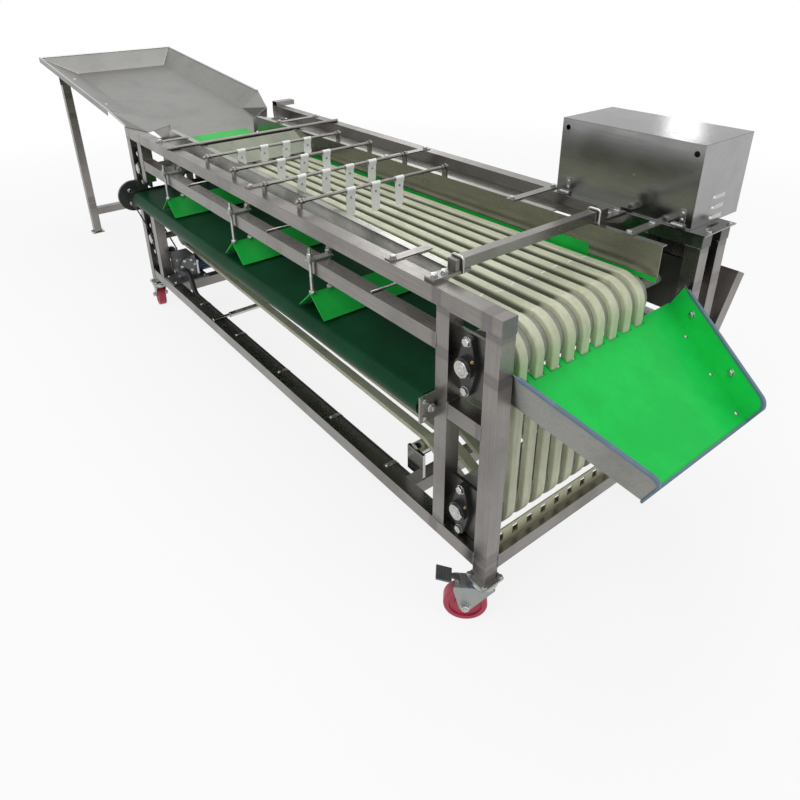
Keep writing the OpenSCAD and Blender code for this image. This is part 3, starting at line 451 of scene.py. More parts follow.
@dataclass(frozen=True)
class TurnedNylon(Finish):
    """Turned white nylon toned grey as painted shade for the shadow between the belts, with tool rings across the
    roller and grime in the grooves.
    """

    axis: Axis = Axis.Y

    def paint(self, g: Graph) -> dict[str, Value]:
        """Tool rings are a fine sine along the roller's axis."""
        rings = (g.along(self.axis) * 5200.0).sine()
        cloud = g.noise(14.0, 5.0, 0.6)
        grime = g.noise(60.0, 4.0, 0.7).ease(0.48, 0.74)
        # painted shade: both tones are a grey that stands in for the shadow on the roller between the belts
        colour = g.blend((0.34, 0.34, 0.30), (0.25, 0.25, 0.215), cloud.ease(0.35, 0.7))
        return dict(
            Base_Color=g.blend(colour, (0.13, 0.12, 0.095), grime * 0.35),
            Roughness=0.44 + grime * 0.18,
            Normal=g.bump(rings * 0.4 + grime * 0.4, 0.12, 0.0003),
        )


@dataclass(frozen=True)
class CastMetal(Finish):
    """Cast or painted housing: pebbled skin, chipped to bare metal, oily dark patches."""

    tone: RGB
    chips: float
    metal: float = 0.0
    rough: float = 0.4
    bare: RGB = (0.36, 0.35, 0.33)

    def paint(self, g: Graph) -> dict[str, Value]:
        """Chips are the peaks of two noises; the skin's pebbles are cells."""
        cloud = g.noise(20.0, 5.0, 0.65)
        chip = (g.noise(75.0, 5.0, 0.75) * 0.6 + cloud * 0.4).ease(0.585, 0.625) * self.chips
        oil = g.noise(9.0, 3.0, 0.6).ease(0.5, 0.72)
        colour = g.blend(self.tone, scaled(self.tone, 0.45), oil * 0.7)
        height = g.cells(330.0) * 0.6 + cloud * 0.5 - chip * 0.6
        return dict(
            Base_Color=g.blend(colour, self.bare, chip),
            Metallic=self.metal + chip * (1.0 - self.metal),
            Roughness=self.rough - oil * 0.14 + chip * 0.05,
            Normal=g.bump(height, 0.2, 0.0006),
        )


@dataclass(frozen=True)
class Plated(Finish):
    """Zinc plated steel: crystalline bloom, tinted film and handling marks."""

    tone: RGB = (0.36, 0.365, 0.36)
    rough: float = 0.30

    def paint(self, g: Graph) -> dict[str, Value]:
        """Crystals tint by cell colour; white bloom dulls in clouds."""
        crystal = g.node("ShaderNodeSeparateColor", None, {0: g.cells(170.0, "Color")})
        bloom = g.noise(26.0, 5.0, 0.65).ease(0.5, 0.72)
        warm = tuple(c * k for c, k in zip(self.tone, (1.02, 0.95, 0.82)))
        cool = tuple(c * k for c, k in zip(self.tone, (0.86, 0.95, 1.06)))
        return dict(
            Base_Color=g.blend(g.blend(warm, cool, crystal), (0.17, 0.165, 0.155), bloom * 0.45),
            Metallic=1.0,
            Roughness=self.rough + bloom * 0.22 + crystal * 0.08,
            Normal=g.bump(g.noise(300.0, 3.0, 0.6), 0.1, 0.0003),
        )


@dataclass
class Patch:
    """A surface: points, four-sided faces and flat caps."""

    points: np.ndarray
    quads: np.ndarray
    caps: list[np.ndarray]

    @staticmethod
    def grid(points: np.ndarray, wrap_u: bool = False, wrap_v: bool = False, cap: bool = False) -> "Patch":
        """Joins a grid of points into quads.

        Args:
            points: array of (u, v, 3).
            wrap_u: the last row meets the first.
            wrap_v: the last column meets the first.
            cap: close the first and last row with flat faces.

        Returns:
            The surface.
        """
        index = np.arange(points[..., 0].size).reshape(points.shape[:2])
        full = np.pad(index, ((0, int(wrap_u)), (0, int(wrap_v))), mode="wrap")
        quads = np.stack([full[:-1, :-1], full[:-1, 1:], full[1:, 1:], full[1:, :-1]], axis=-1)
        caps = [index[:1, ::-1], index[-1:]] if cap else []
        return Patch(points.reshape(-1, 3), quads.reshape(-1, 4), caps)

    @staticmethod
    def tube(rows: Any) -> "Patch":
        """Closed rings of points in order, capped at both ends."""
        return Patch.grid(np.asarray(rows, dtype=float), wrap_v=True, cap=True)

    @staticmethod
    def turned(profile: Points, sides: int) -> "Patch":
        """Revolves (radius, height) points about Z and caps both ends."""
        radius, height = np.asarray(profile, dtype=float).T[:, :, None]
        x, y = circle(sides).T
        return Patch.tube(np.dstack([radius * x, radius * y, height + np.zeros(sides)]))

    @staticmethod
    def ring(profile: Points, sides: int) -> "Patch":
        """Revolves a closed (radius, height) section about Z into a ring."""
        made = Patch.turned([*profile, profile[0]], sides)
        return Patch(made.points, made.quads, [])

    @staticmethod
    def prism(outline: Points, low: float, high: float, edge: float = 0.0) -> "Patch":
        """Carries a flat outline from low to high; edge draws its rims in towards its middle."""
        flat = np.asarray(outline, dtype=float)
        out = flat - flat.mean(axis=0)
        small = flat - out * (edge / np.abs(out).max())
        layers = [(flat, low), (flat, high)]
        if edge > 0:
            layers = [(small, low), (flat, low + edge), (flat, high - edge), (small, high)]
        return Patch.tube([np.insert(ring, 2, z, axis=1) for ring, z in layers])

    @staticmethod
    def box(low: Sequence[float], high: Sequence[float], edge: float = 0.4) -> "Patch":
        """A plate or block between two corners with its long rims eased."""
        (x0, y0, z0), (x1, y1, z1) = low, high
        return Patch.prism([(x0, y0), (x1, y0), (x1, y1), (x0, y1)], z0, z1, min(edge, (z1 - z0) / 3))

    @staticmethod
    def swept(section: Points, path: Any, up: Sequence[float], closed: bool = False, scale: Any = 1.0) -> "Patch":
        """Carries a section along a path.

        Args:
            section: (side, up) points of the closed section.
            path: points in order.
            up: direction that the section's second number follows.
            closed: the path's end meets its start.
            scale: one number, one for each path point, or a (side, up) pair for each.

        Returns:
            The tube, capped where the path is open.
        """
        line = np.asarray(path, dtype=float)
        if closed:
            tangent = unit(np.roll(line, -1, axis=0) - np.roll(line, 1, axis=0))
        else:
            tangent = unit(np.gradient(line, axis=0))
        side = unit(np.cross(tangent, up))
        rise = np.cross(side, tangent)
        grown = np.asarray(scale, dtype=float)
        flat = np.asarray(section, dtype=float) * (grown if grown.ndim == 2 else grown.reshape(-1, 1))[:, None]
        points = line[:, None] + flat[..., :1] * side[:, None] + flat[..., 1:] * rise[:, None]
        return Patch.grid(points, wrap_u=closed, wrap_v=True, cap=not closed)

    @staticmethod
    def joined(parts: Sequence["Patch"]) -> "Patch":
        """Several surfaces as one."""
        starts = np.cumsum([0] + [len(p.points) for p in parts[:-1]])
        return Patch(
            np.concatenate([p.points for p in parts]),
            np.concatenate([p.quads + s for p, s in zip(parts, starts)]),
            [c + s for p, s in zip(parts, starts) for c in p.caps],
        )

    def at(self, points: np.ndarray) -> "Patch":
        """The same faces over moved points."""
        return Patch(points, self.quads, self.caps)

    def placed(self, spots: Any, axis: Sequence[float], spin: Any = 0.0) -> "Patch":
        """Copies the surface to spots, with its Z along an axis, turned about it by spin degrees."""
        z = unit(axis)
        x = unit(np.cross((0.0, 1.0, 0.0) if abs(z[1]) < 0.9 else (1.0, 0.0, 0.0), z))
        y = np.cross(z, x)
        at = np.asarray(spots, dtype=float).reshape(-1, 3)
        across, along, up = (column[:, None] for column in self.points.T)
        copies = []
        for spot, angle in zip(at, np.radians(np.resize(spin, len(at)))):
            c, s = math.cos(angle), math.sin(angle)
            copies.append(self.at(spot + across * (c * x + s * y) + along * (c * y - s * x) + up * z))
        return Patch.joined(copies)

    def emit(
        self,
        name: str,
        material: bpy.types.Material,
        slot: str = "stainless",
        body: str = "frame",
        sharp: float = 32.0,
    ) -> bpy.types.Object:
        """Makes the mesh object and sets it on its body.

        Args:
            name: the piece's name.
            material: its finish.
            slot: the record's material slot; not used.
            body: the CAD body that it moves with.
            sharp: edges over this angle stay sharp, in degrees.

        Returns:
            The new object.
        """
        mesh = bpy.data.meshes.new(name)
        faces = self.quads.tolist() + [row for cap in self.caps for row in cap.tolist()]
        mesh.from_pydata(world(self.points).tolist(), [], faces)
        work = bmesh.new()
        work.from_mesh(mesh)
        bmesh.ops.remove_doubles(work, verts=work.verts, dist=1e-6)
        bmesh.ops.recalc_face_normals(work, faces=work.faces)
        work.to_mesh(mesh)
        work.free()
        mesh.polygons.foreach_set("use_smooth", np.ones(len(mesh.polygons), dtype=bool))
        mesh.set_sharp_from_angle(angle=math.radians(sharp))
        mesh.materials.append(material)
        made = linked(name, mesh)
        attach(made, body)
        LOG.info("%s: %d faces on %s", name, len(mesh.polygons), body)
        return made


@dataclass(frozen=True)
class Hardware:
    """Standard fasteners by thread size, standing on Z = 0."""

    thread: float

    @property
    def thick(self) -> float:
        """Thickness of the washer."""
        return 0.17 * self.thread

    def hexagon(self, low: float, high: float) -> Patch:
        """Six-sided prism with its corners chamfered by drawing the rims in."""
        r = 0.98 * self.thread
        c = 0.12 * r
        return Patch.turned([(r - c, low), (r, low + c), (r, high - c), (r - c, high)], 6)

    def washer(self) -> Patch:
        """Flat ring under the head."""
        r, t, edge = 1.1 * self.thread, self.thick, 0.2
        return Patch.turned([(r - edge, 0.0), (r, edge), (r, t - edge), (r - edge, t)], 24)

    def bolt(self) -> Patch:
        """Washer, hex head and its domed face."""
        top, r = self.thick + 0.65 * self.thread, 0.82 * self.thread
        dome = [(r, top - 0.3), (0.9 * r, top + 0.25), (0.5 * r, top + 0.5), (0.2 * r, top + 0.55)]
        return Patch.joined([self.washer(), self.hexagon(self.thick, top), Patch.turned(dome, 24)])

    def nut(self) -> Patch:
        """Washer and hex nut with the end of its thread."""
        top, r = self.thick + 0.8 * self.thread, 0.5 * self.thread
        stub = Patch.turned([(r, self.thick), (r, top + 1.4), (0.8 * r, top + 2)], 16)
        return Patch.joined([self.washer(), self.hexagon(self.thick, top), stub])

    def dome_screw(self) -> Patch:
        """Round head with a driver recess."""
        r, h = 0.95 * self.thread, 0.6 * self.thread
        cap = arc(np.linspace(0.0, 1.0, 7) * 1.15, r, h)
        return Patch.turned([*cap, (0.38 * r, 0.93 * h), (0.34 * r, 0.55 * h)], 24)


class Finishes:
    """The machine's materials, each made once and put on the CAD nodes that wear it."""

    def __init__(self) -> None:
        """Makes the finishes; weld planes are heights of joints and the rails' ends along."""
        heights = tuple((Axis.Z, z) for z in (0.750, 0.195, 0.650, 0.157))
        ends = tuple((Axis.X, float(world([x, 0, 0])[0])) for x in (-38, -175, -1862, -1982))
        put = self.put
        upright = Stainless("stainless_post", Axis.Z, welds=heights)
        self.post = put("posts outrigger side_channel tray_legs", upright)
        put("long_rails", Stainless("stainless_rail", Axis.X, welds=ends))
        self.cross = put("cross_rails tray_supports brackets tie_bars", Stainless("stainless_cross", Axis.Y))
        self.tray = put("tray_pan", Stainless("stainless_tray", Axis.X, (0.225, 0.223, 0.212), 0.36, 0.25))
        # painted shade on the cover's top above 0.987 m
        box = Stainless("stainless_cover", Axis.X, (0.30, 0.305, 0.30), 0.15, 0.3, shaded_over=0.987)
        put("top_plate box_cover", box)
        mirror = Stainless("stainless_polished", Axis.Y, (0.46, 0.455, 0.44), 0.15, 0.2)
        self.polished = put("belt_supports nose_roller tail_roller", mirror)
        sheet = Stainless("stainless_guide", Axis.X, (0.27, 0.27, 0.24), 0.22)
        self.guide = put("side_guides conveyor_frame", sheet)
        put("feed_plate", Stainless("stainless_feed", Axis.X, (0.115, 0.125, 0.098), 0.28, 0.6))
        put("window_strip", Stainless("stainless_window", Axis.Y, (0.44, 0.44, 0.32), 0.48, 0.4))
        put("bearing_plates", Stainless("stainless_plate", Axis.Z, (0.10, 0.098, 0.092), 0.34, 0.6))
        put("chute_shell", Stainless("stainless_chute", Axis.X, (0.25, 0.25, 0.235), 0.30))
        bright_green = GreenSheet("green_lining", (0.014, 0.68, 0.098), (0.010, 0.58, 0.080), Axis.X)
        self.lining = put("chute_lining", bright_green)
        # painted shade: a darker copy of the lining's green, worn by the tents, tray lip, comb lips and far skirts
        green = GreenSheet("green_tent", (0.010, 0.50, 0.060), (0.008, 0.40, 0.048), Axis.Y, 0.4)
        self.tent = put("tray_lip tent_1 tent_2 tent_3", green)
        # painted light: the deck belts are a tenth lighter and the upright runs a fifth lighter than the level
        # return runs; below 0.7075 m the deck belts' sides get painted shade
        put("belts_return", CreamBelt("cream_belt_level", Axis.X))
        put("belts_top", CreamBelt("cream_belt_deck", Axis.X, 1.1, 0.7075))
        put("belts_wraps belts_end_runs", CreamBelt("cream_belt_upright", Axis.Z, 1.2))
        put("conveyor_belt", ConveyorBelting("conveyor_belting"))
        put("chute_trim", Moulded("edge_rubber", (0.115, 0.19, 0.25), (0.18, 0.27, 0.33), 0.45))
        red = Moulded("red_tread", (0.47, 0.035, 0.075), (0.34, 0.04, 0.06), 0.4, 300.0)
        put("wheel_1 wheel_2 wheel_3 wheel_4", red)
        self.black = put("conduit", Moulded("black_conduit", (0.012, 0.012, 0.012), (0.045, 0.043, 0.04)))
        soft = Moulded("clear_strip", (0.93, 0.94, 0.92), (0.88, 0.89, 0.86), 0.34, 300.0)
        self.strip = put("level_row_1 level_row_2 level_row_3 level_row_4", soft)
        put("end_caps", Moulded("grey_cap", (0.13, 0.13, 0.125), (0.2, 0.2, 0.19)))
        put("discharge_roller low_right_roller infeed_roller low_left_roller", TurnedNylon("turned_nylon"))
        put("bearings", CastMetal("dark_cast", (0.045, 0.047, 0.045), 0.35, 0.35))
        put("nose_cover", CastMetal("dark_nose", (0.030, 0.033, 0.033), 0.15, rough=0.38))
        put("gear_motor", CastMetal("grey_gearbox", (0.15, 0.155, 0.16), 0.3, 0.4, 0.36))
        self.motor = put("drive_motor", CastMetal("blue_motor", (0.030, 0.075, 0.17), 0.2))
        self.zinc = put("caster_plates fork_1 fork_2 fork_3 fork_4", Plated("zinc_plate"))
        self.bright = put("", Plated("bright_fastener", (0.50, 0.50, 0.485), 0.2))
        self.dark_zinc = put("pedal_1 pedal_2", Plated("dark_pedal", (0.15, 0.16, 0.165), 0.36))
        oiled = Plated("oiled_chain", (0.17, 0.165, 0.155), 0.28)
        self.chain = put("chains gear_sprocket drive_sprocket", oiled)
        self.brass = put("", Plated("brass_nipple", (0.45, 0.32, 0.11), 0.26))

    @staticmethod
    def put(nodes: str, finish: Finish) -> bpy.types.Material:
        """Makes a finish and puts it on the CAD nodes named, if any, with blanks between them."""
        material = finish.build()
        for name in nodes.split():
            slots = frame["nodes"][name].data.materials
            slots.clear()
            slots.append(material)
            LOG.info("%s: %s", name, material.name)
        return material


@dataclass
class Assembly:
    """A group of pieces in the machine's finishes."""

    finish: Finishes

    def build(self) -> None:
        """Makes the group's pieces."""
        raise NotImplementedError


@dataclass
class WeldedFrame(Assembly):
    """Weld beads, strap bolts, tie hooks and foot bolts of the tube frame."""

    tube: float = 38.0
    bead: float = 1.7
    ripple: float = 2.6
    strap_top: float = 791.0
    tie_top: float = 796.0

    def bead_loop(self, centre: Spot, axis: Axis) -> Patch:
        """Half-round bead round a square tube end: a rounded square path with a sine ripple in its thickness."""
        ring = circle(132)
        flat = self.tube / 2 * np.sign(ring) * np.abs(ring) ** 0.16
        path = np.insert(flat, axis.value, 0.0, axis=1) + centre
        run = np.cumsum(np.linalg.norm(np.roll(path, -1, axis=0) - path, axis=1))
        thick = 1.0 + 0.16 * np.sin(2 * np.pi * run / self.ripple)
        return Patch.swept(circle(6, self.bead), path, np.eye(3)[axis.value], True, thick)

    def tie_hook(self, y: float) -> Patch:
        """Round wire bent over the discharge tie bar at a place across, its long leg on the discharge side."""
        back, front, top, bend = -220.6, -189.4, 823.5, 5.0
        turn = arc(np.linspace(np.pi, 0.5 * np.pi, 7), bend)
        rise = turn + (back + bend, top - bend)
        fall = turn[::-1] * (-1, 1) + (front - bend, top - bend)
        flat = np.array([(back, 800.0), *rise, *fall, (front, 789.2)])
        return Patch.swept(circle(14, 3.2), np.insert(flat, 1, y, axis=1), UP_Y)

    def joints(self) -> list[tuple[Spot, Axis]]:
        """Tube joints of the frame: middle of each end and the tube's direction."""
        sides = (19.0, 671.0)
        groups = (
            (Axis.Z, (-19.0, -156.0, -1881.0, -2001.0), sides, 750.0),
            (Axis.Z, (-156.0, -1881.0), sides, 195.0),
            (Axis.X, (-38.0, -1982.0), sides, 176.0),
            (Axis.X, (-175.0, -1862.0), sides, 669.0),
            (Axis.X, (-38.0, -137.0), sides, 519.0),
            (Axis.Y, (-19.0, -300.0, -1780.0, -2001.0), (38.0, 652.0), 176.0),
            (Axis.Z, (-19.0,), (750.0,), 750.0),
            (Axis.Y, (-401.0,), (731.0,), 769.0),
            (Axis.Y, (-19.0,), (731.0,), 499.0),
            (Axis.Z, (-3150.0,), (69.0, 577.0), 4.0),
            (Axis.Y, (-3150.0,), (88.0, 558.0), 121.0),
        )
        return [(spot, axis) for axis, xs, ys, z in groups for spot in product(xs, ys, (z,))]

    def build(self) -> None:
        """Beads, bolts on the guide straps and tie straps, hooks, and bolts on the tray feet."""
        loops = [self.bead_loop(centre, axis) for centre, axis in self.joints()]
        Patch.joined(loops).emit("weld_beads", self.finish.post, sharp=60.0)
        heads = [
            *product((-1687.5, -992.5, -337.5), (19.0,), (self.strap_top,)),
            *product((-1687.5, -992.5, -447.5), (501.0, 664.0), (self.strap_top,)),
            *product((-107.5,), (524.0, 612.0), (self.strap_top,)),
            *product((-205.0,), (19.0, 46.0, 580.0, 610.0), (self.tie_top,)),
        ]
        turns = np.random.default_rng(4).uniform(0, 60, len(heads))
        Hardware(8.0).bolt().placed(heads, UP, turns).emit("strap_bolts", self.finish.bright)
        caps = [Patch.box((-216.7, y - 0.6, 796.3), (-193.3, y + 0.6, 819.7), 0.3) for y in (65.6, 557.4)]
        Patch.joined(caps).emit("tie_bar_caps", self.finish.cross)
        Patch.joined([self.tie_hook(y) for y in (82.0, 520.0)]).emit("tie_hooks", self.finish.polished)
        feet = [*foursquare(-3150.0, 69.0, 4.0), *foursquare(-3150.0, 577.0, 4.0)]
        Hardware(5.0).bolt().placed(feet, UP).emit("foot_bolts", self.finish.bright)


@dataclass
class RollerBearings(Assembly):
    """Flange bolts, grease nipples and locking collars of the eight roller bearings."""

    stations: tuple[tuple[str, float, float], ...] = (
        ("discharge_roller", -98.0, 640.0), ("low_right_roller", -98.0, 268.0),
        ("infeed_roller", -1940.0, 640.0), ("low_left_roller", -1940.0, 345.0))
    reach: float = 57.0
    faces: tuple[float, float] = (13.0, 677.0)
    bosses: tuple[float, float] = (2.0, 688.0)
    shaft: float = 12.5

    def collar(self) -> Patch:
        """Locking collar with two set screws, and the chamfered shaft end with its centre hole."""
        s = self.shaft
        section = [(s + 0.1, 0.1), (s + 5.2, 0.1), (s + 6, 0.9), (s + 6, 5.2), (s + 5.2, 6.0), (s + 0.1, 6.0)]
        end = [(s - 0.1, -0.9), (s - 0.1, 6.4), (s - 1.3, 7.4), (3.2, 7.4), (0.8, 4.6)]
        screw = Hardware(4.0).dome_screw()
        return Patch.joined([
            Patch.ring(section, 40),
            Patch.turned(end, 32),
            screw.placed([(s + 5.9, 0.0, 3.0)], (1, 0, 0)),
            screw.placed([(0.0, s + 5.9, 3.0)], UP_Y),
        ])

    def nipple(self) -> Patch:
        """Grease nipple: hex foot, neck and ball end."""
        foot = Patch.turned([(3.4, 0.0), (3.4, 3.0), (2.4, 3.4)], 6)
        ball = Patch.turned([(2.2, 3.0), (1.5, 4.6), (2.1, 6.0), (1.9, 7.2), (1.0, 7.9)], 16)
        return Patch.joined([foot, ball])

    def build(self) -> None:
        """Fasteners on the frame, collars on the rollers; the chain takes the discharge shaft's far end."""
        for body, x, z in self.stations:
            ends = [self.collar().placed([(x, y, z)], way) for y, way in zip(self.bosses, (DOWN_Y, UP_Y))]
            shown = ends[:1] if body == "discharge_roller" else ends
            Patch.joined(shown).emit(f"{body}_collars", self.finish.bright, "roller_steel", body)
        spots = [(x, z + s * self.reach) for _, x, z in self.stations for s in BOTH]
        turns = np.random.default_rng(7).uniform(0, 60, len(spots))
        heads = [Hardware(10.0).bolt().placed([(x, face, z) for x, z in spots], way, turns)
                 for face, way in zip(self.faces, (DOWN_Y, UP_Y))]
        Patch.joined(heads).emit("bearing_bolts", self.finish.bright)
        oil = [(x + 16.0, self.faces[0], z + 18.0) for _, x, z in self.stations]
        self.nipple().placed(oil, (0.35, -0.9, 0.35)).emit("grease_nipples", self.finish.brass, "zinc")


@dataclass
class FeedTray(Assembly):
    """Rolled hem, near gusset, corner welds and screws of the feed tray."""

    rim: tuple[Spot, ...] = (
        (-2022.0, 6.4, 790.5), (-2230.0, 6.4, 820.4), (-3285.6, 6.4, 929.5),
        (-3285.6, 687.6, 929.5), (-2230.0, 687.6, 820.4))
    gusset: tuple[Spot, ...] = (
        (-2230.0, 3.0, 821.5), (-2021.0, 3.0, 789.8), (-1862.0, 40.0, 789.8),
        (-1880.0, 129.6, 799.4), (-2122.0, 95.4, 799.4))
    screws: tuple[Spot, ...] = ((-2880.0, 57.0, 863.4), (-2385.0, 47.0, 816.4))
    corners: tuple[tuple[Spot, Spot], ...] = (
        ((-3170.0, 150.0, 850.0), (-3286.0, 6.0, 929.5)),
        ((-3170.0, 600.0, 850.0), (-3286.0, 688.0, 929.5)))
    step: float = 3.5

    def seam(self, start: Spot, end: Spot) -> Patch:
        """Ground weld seam between two points: a flattened bead with a sine ripple."""
        count = max(8, int(math.dist(start, end) / self.step * 4))
        t = np.linspace(0.0, 1.0, count)
        thick = 1.0 + 0.12 * np.sin(t * count * np.pi / 2)
        return Patch.swept(circle(8, 2.2, 1.32), np.linspace(start, end, count), UP, False, thick)

    def build(self) -> None:
        """Hem along the rim, gusset to the frame, seams in the rear corners, screws in the near wall."""
        runs = [Patch.swept(circle(12, 4.2), np.linspace(a, b, 24), UP) for a, b in pairwise(self.rim)]
        Patch.joined(runs).emit("tray_hem", self.finish.polished)
        sheet = np.array(self.gusset) - [[[0.0, 0.0, 0.0]], [[0.0, 0.0, 1.5]]]
        Patch.tube(sheet).emit("tray_gusset", self.finish.tray)
        Patch.joined([self.seam(a, b) for a, b in self.corners]).emit("tray_seams", self.finish.bright, sharp=60.0)
        heads = Hardware(9.0).dome_screw().placed(self.screws, (0.09, 0.48, 0.87))
        heads.emit("tray_screws", self.finish.bright)


@dataclass(frozen=True)
class ChuteWall:
    """A wall of the chute: places across at the comb edge, drift across, and the way to the middle."""

    lining: float
    bolts: float
    screws: float
    slope: float
    drift: float
    inward: int


@dataclass
class Chute(Assembly):
    """Wall lining, comb lips, bolts and screws of the discharge chute."""

    tilt: float = math.radians(27.0)
    origin: tuple[float, float] = (-40.0, 603.0)
    middle: float = 298.0
    pitch: float = 48.4
    length: float = 310.0
    walls: tuple[ChuteWall, ...] = (
        ChuteWall(40.3, 40.5, 56.0, 0.3635, 112.7, 1), ChuteWall(632.0, 632.0, 616.0, -0.3377, -104.7, -1))

    def spot(self, down: Any, across: Any, off: Any) -> np.ndarray:
        """Points of the chute: distance down the slope, across it and off its floor."""
        c, s = math.cos(self.tilt), math.sin(self.tilt)
        return np.column_stack([self.origin[0] + down * c + off * s, across, self.origin[1] - down * s + off * c])

    def wall_lining(self, wall: ChuteWall) -> Patch:
        """Green sheet a millimetre thick on a wall's inner face, rounded at its front top corner."""
        corner = arc(np.linspace(0.5 * np.pi, 0.0, 9), 19.0) + (288.0, 43.0)
        flat = Patch.prism([(3.0, 0.1), (3.0, 62.0), *corner, (307.0, 0.1)], 0.1, 1.1)
        u, w, off = flat.points.T
        return flat.at(self.spot(u, wall.lining + wall.slope * u + wall.inward * off, w))

    def comb_lips(self) -> Patch:
        """Soft lips that close each comb slot up to a millimetre from its belt, and tips on its fingers."""
        low, high, edge = -2.4, -0.05, 0.2
        slot, gap, root, end, fillet = 17.05, 14.0, 15.6, 18.2, 3.8
        lips = []
        for y in self.middle + self.pitch * np.arange(-4, 5):
            for y0, y1 in ((y - slot, y - gap), (y + gap, y + slot)):
                lips.append(Patch.box((0.2, y0, low), (end, y1, high), edge))
            lips.append(Patch.box((root, y - gap, low), (end, y + gap, high), edge))
            for s in BOTH:
                corner = [(root, y + s * gap), (root, y + s * (gap - fillet)), (root - fillet, y + s * gap)]
                lips.append(Patch.prism(corner, low, high))
        for y in self.middle + self.pitch * (np.arange(-4, 4) + 0.5):
            lips.append(Patch.box((-10.0, y - 7.1, -2.2), (0.15, y + 7.1, high), edge))
        flat = Patch.joined(lips)
        return flat.at(self.spot(*flat.points.T))

    def wall_bolts(self, wall: ChuteWall) -> Patch:
        """Bolts through a wall, square to its face."""
        a = math.atan2(wall.drift, self.length)
        c, s = math.cos(self.tilt), math.sin(self.tilt)
        normal = wall.inward * np.array([-math.sin(a) * c, math.cos(a), math.sin(a) * s])
        down = np.array([62.0, 215.0])
        return Hardware(8.0).bolt().placed(self.spot(down, wall.bolts + wall.slope * down, 36.0), normal)

    def build(self) -> None:
        """Green wall lining, comb lips, bolts through both walls, screws along the lining's edges."""
        Patch.joined([self.wall_lining(wall) for wall in self.walls]).emit(
            "chute_wall_lining", self.finish.lining, "green_sheet")
        self.comb_lips().emit("comb_lips", self.finish.tent, "green_sheet")
        Patch.joined([self.wall_bolts(wall) for wall in self.walls]).emit("chute_bolts", self.finish.bright)
        down = np.array([90.0, 190.0, 285.0])
        rows = [self.spot(down, wall.screws + wall.slope * down, 0.0) for wall in self.walls]
        up = (math.sin(self.tilt), 0, math.cos(self.tilt))
        Hardware(5.0).dome_screw().placed(rows, up).emit("lining_screws", self.finish.bright)


@dataclass
class CrossConveyor(Assembly):
    """Nose guard bolts, its bright rim, and the shaft cap of the cross conveyor."""

    axis: tuple[float, float] = (-12.0, 512.0)
    guard: float = 62.0
    face: float = -2031.0
    inner_face: float = -2020.0
    cap_face: float = -174.9

    def rim(self) -> Patch:
        """Bright band round the guard: a flat section along its straight and round edge."""
        r, z = self.guard - 1.0, self.axis[1]
        bow = arc(np.linspace(0.5 * np.pi, 1.5 * np.pi, 49), r) + self.axis
        lead = np.linspace((36.0, z + r), bow[0], 6)[:-1]
        tail = np.linspace(bow[-1], (36.0, z - r), 6)[1:]
        path = np.insert(np.concatenate([lead, bow, tail]), 0, self.face - 0.5, axis=1)
        return Patch.swept(oblong(1.0, 1.2), path, (1, 0, 0))

    def build(self) -> None:
        """Guard bolts, rim, end cap of the nose shaft and the bolts of the side plate."""
        y, z = self.axis
        round_edge = arc(np.radians([100.0, 145.0, 180.0, 215.0, 260.0]), 48.0) + self.axis
        spots = [(self.face, *p) for p in round_edge] + [(self.face, 26.0, z + s * 46.0) for s in BOTH]
        inner = [(self.inner_face, -27.0, height) for height in (483.0, 537.0)]
        m8, m6 = Hardware(8.0).bolt(), Hardware(6.0).bolt()
        heads = [m8.placed(spots, (-1, 0, 0)), m8.placed(inner, (1, 0, 0))]
        Patch.joined(heads).emit("guard_bolts", self.finish.bright)
        self.rim().emit("guard_rim", self.finish.polished)
        cap = Patch.turned([(10.5, 0.0), (10.5, 5.0), (9.3, 6.6), (5.0, 7.4), (1.2, 7.5)], 32)
        cap = Patch.joined([cap, m6.placed([(0.0, 0.0, 7.3)], UP)]).placed([(self.cap_face, y, z)], (1, 0, 0))
        cap.emit("nose_shaft_cap", self.finish.bright, "roller_steel", "nose_roller")
        plate = [(self.cap_face, -30.0, z + s * 22.0) for s in BOTH]
        m6.placed(plate, (1, 0, 0)).emit("side_plate_bolts", self.finish.bright)


@dataclass
class DeckAprons(Assembly):
    """Thin sheets on the far side of the deck: one from guide to rail, green skirts under the guides."""

    start: tuple[float, float] = (-1850.0, 484.0)
    end: tuple[float, float] = (-214.0, 513.3)
    rail: float = 651.4
    skirts: tuple[tuple[float, float, float, float], ...] = (
        (-1850.0, -322.0, 652.0, 711.6), (-322.0, -204.5, 652.0, 738.0), (-204.5, -20.0, 699.0, 711.6))
    infill: tuple[float, float, float, float] = (-322.0, -204.5, 738.1, 787.0)

    def upright(self, x0: float, x1: float, low: float, high: float) -> Patch:
        """Upright sheet in the far guides' line between two lengths and two heights."""
        (xs, ys), (xe, ye) = self.start, self.end
        ends = [(x, ys + (x - xs) * (ye - ys) / (xe - xs) + 0.3) for x in (x0, x1)]
        return Patch.tube([[(x, y, high), (x, y + 1.5, high), (x, y + 1.5, low), (x, y, low)] for x, y in ends])

    def build(self) -> None:
        """Apron from the guide's fold down to the rail's lower inner edge, and sheets in the guides' line."""
        apron = Patch.tube([
            [(x, y + 17.0, 786.8), (x, self.rail, 752.6), (x, self.rail, 751.4), (x, y + 17.0, 785.6)]
            for x, y in (self.start, self.end)])
        Patch.joined([apron, self.upright(*self.infill)]).emit("far_apron", self.finish.guide)
        skirts = Patch.joined([self.upright(*size) for size in self.skirts])
        skirts.emit("far_skirts", self.finish.tent, "green_sheet")


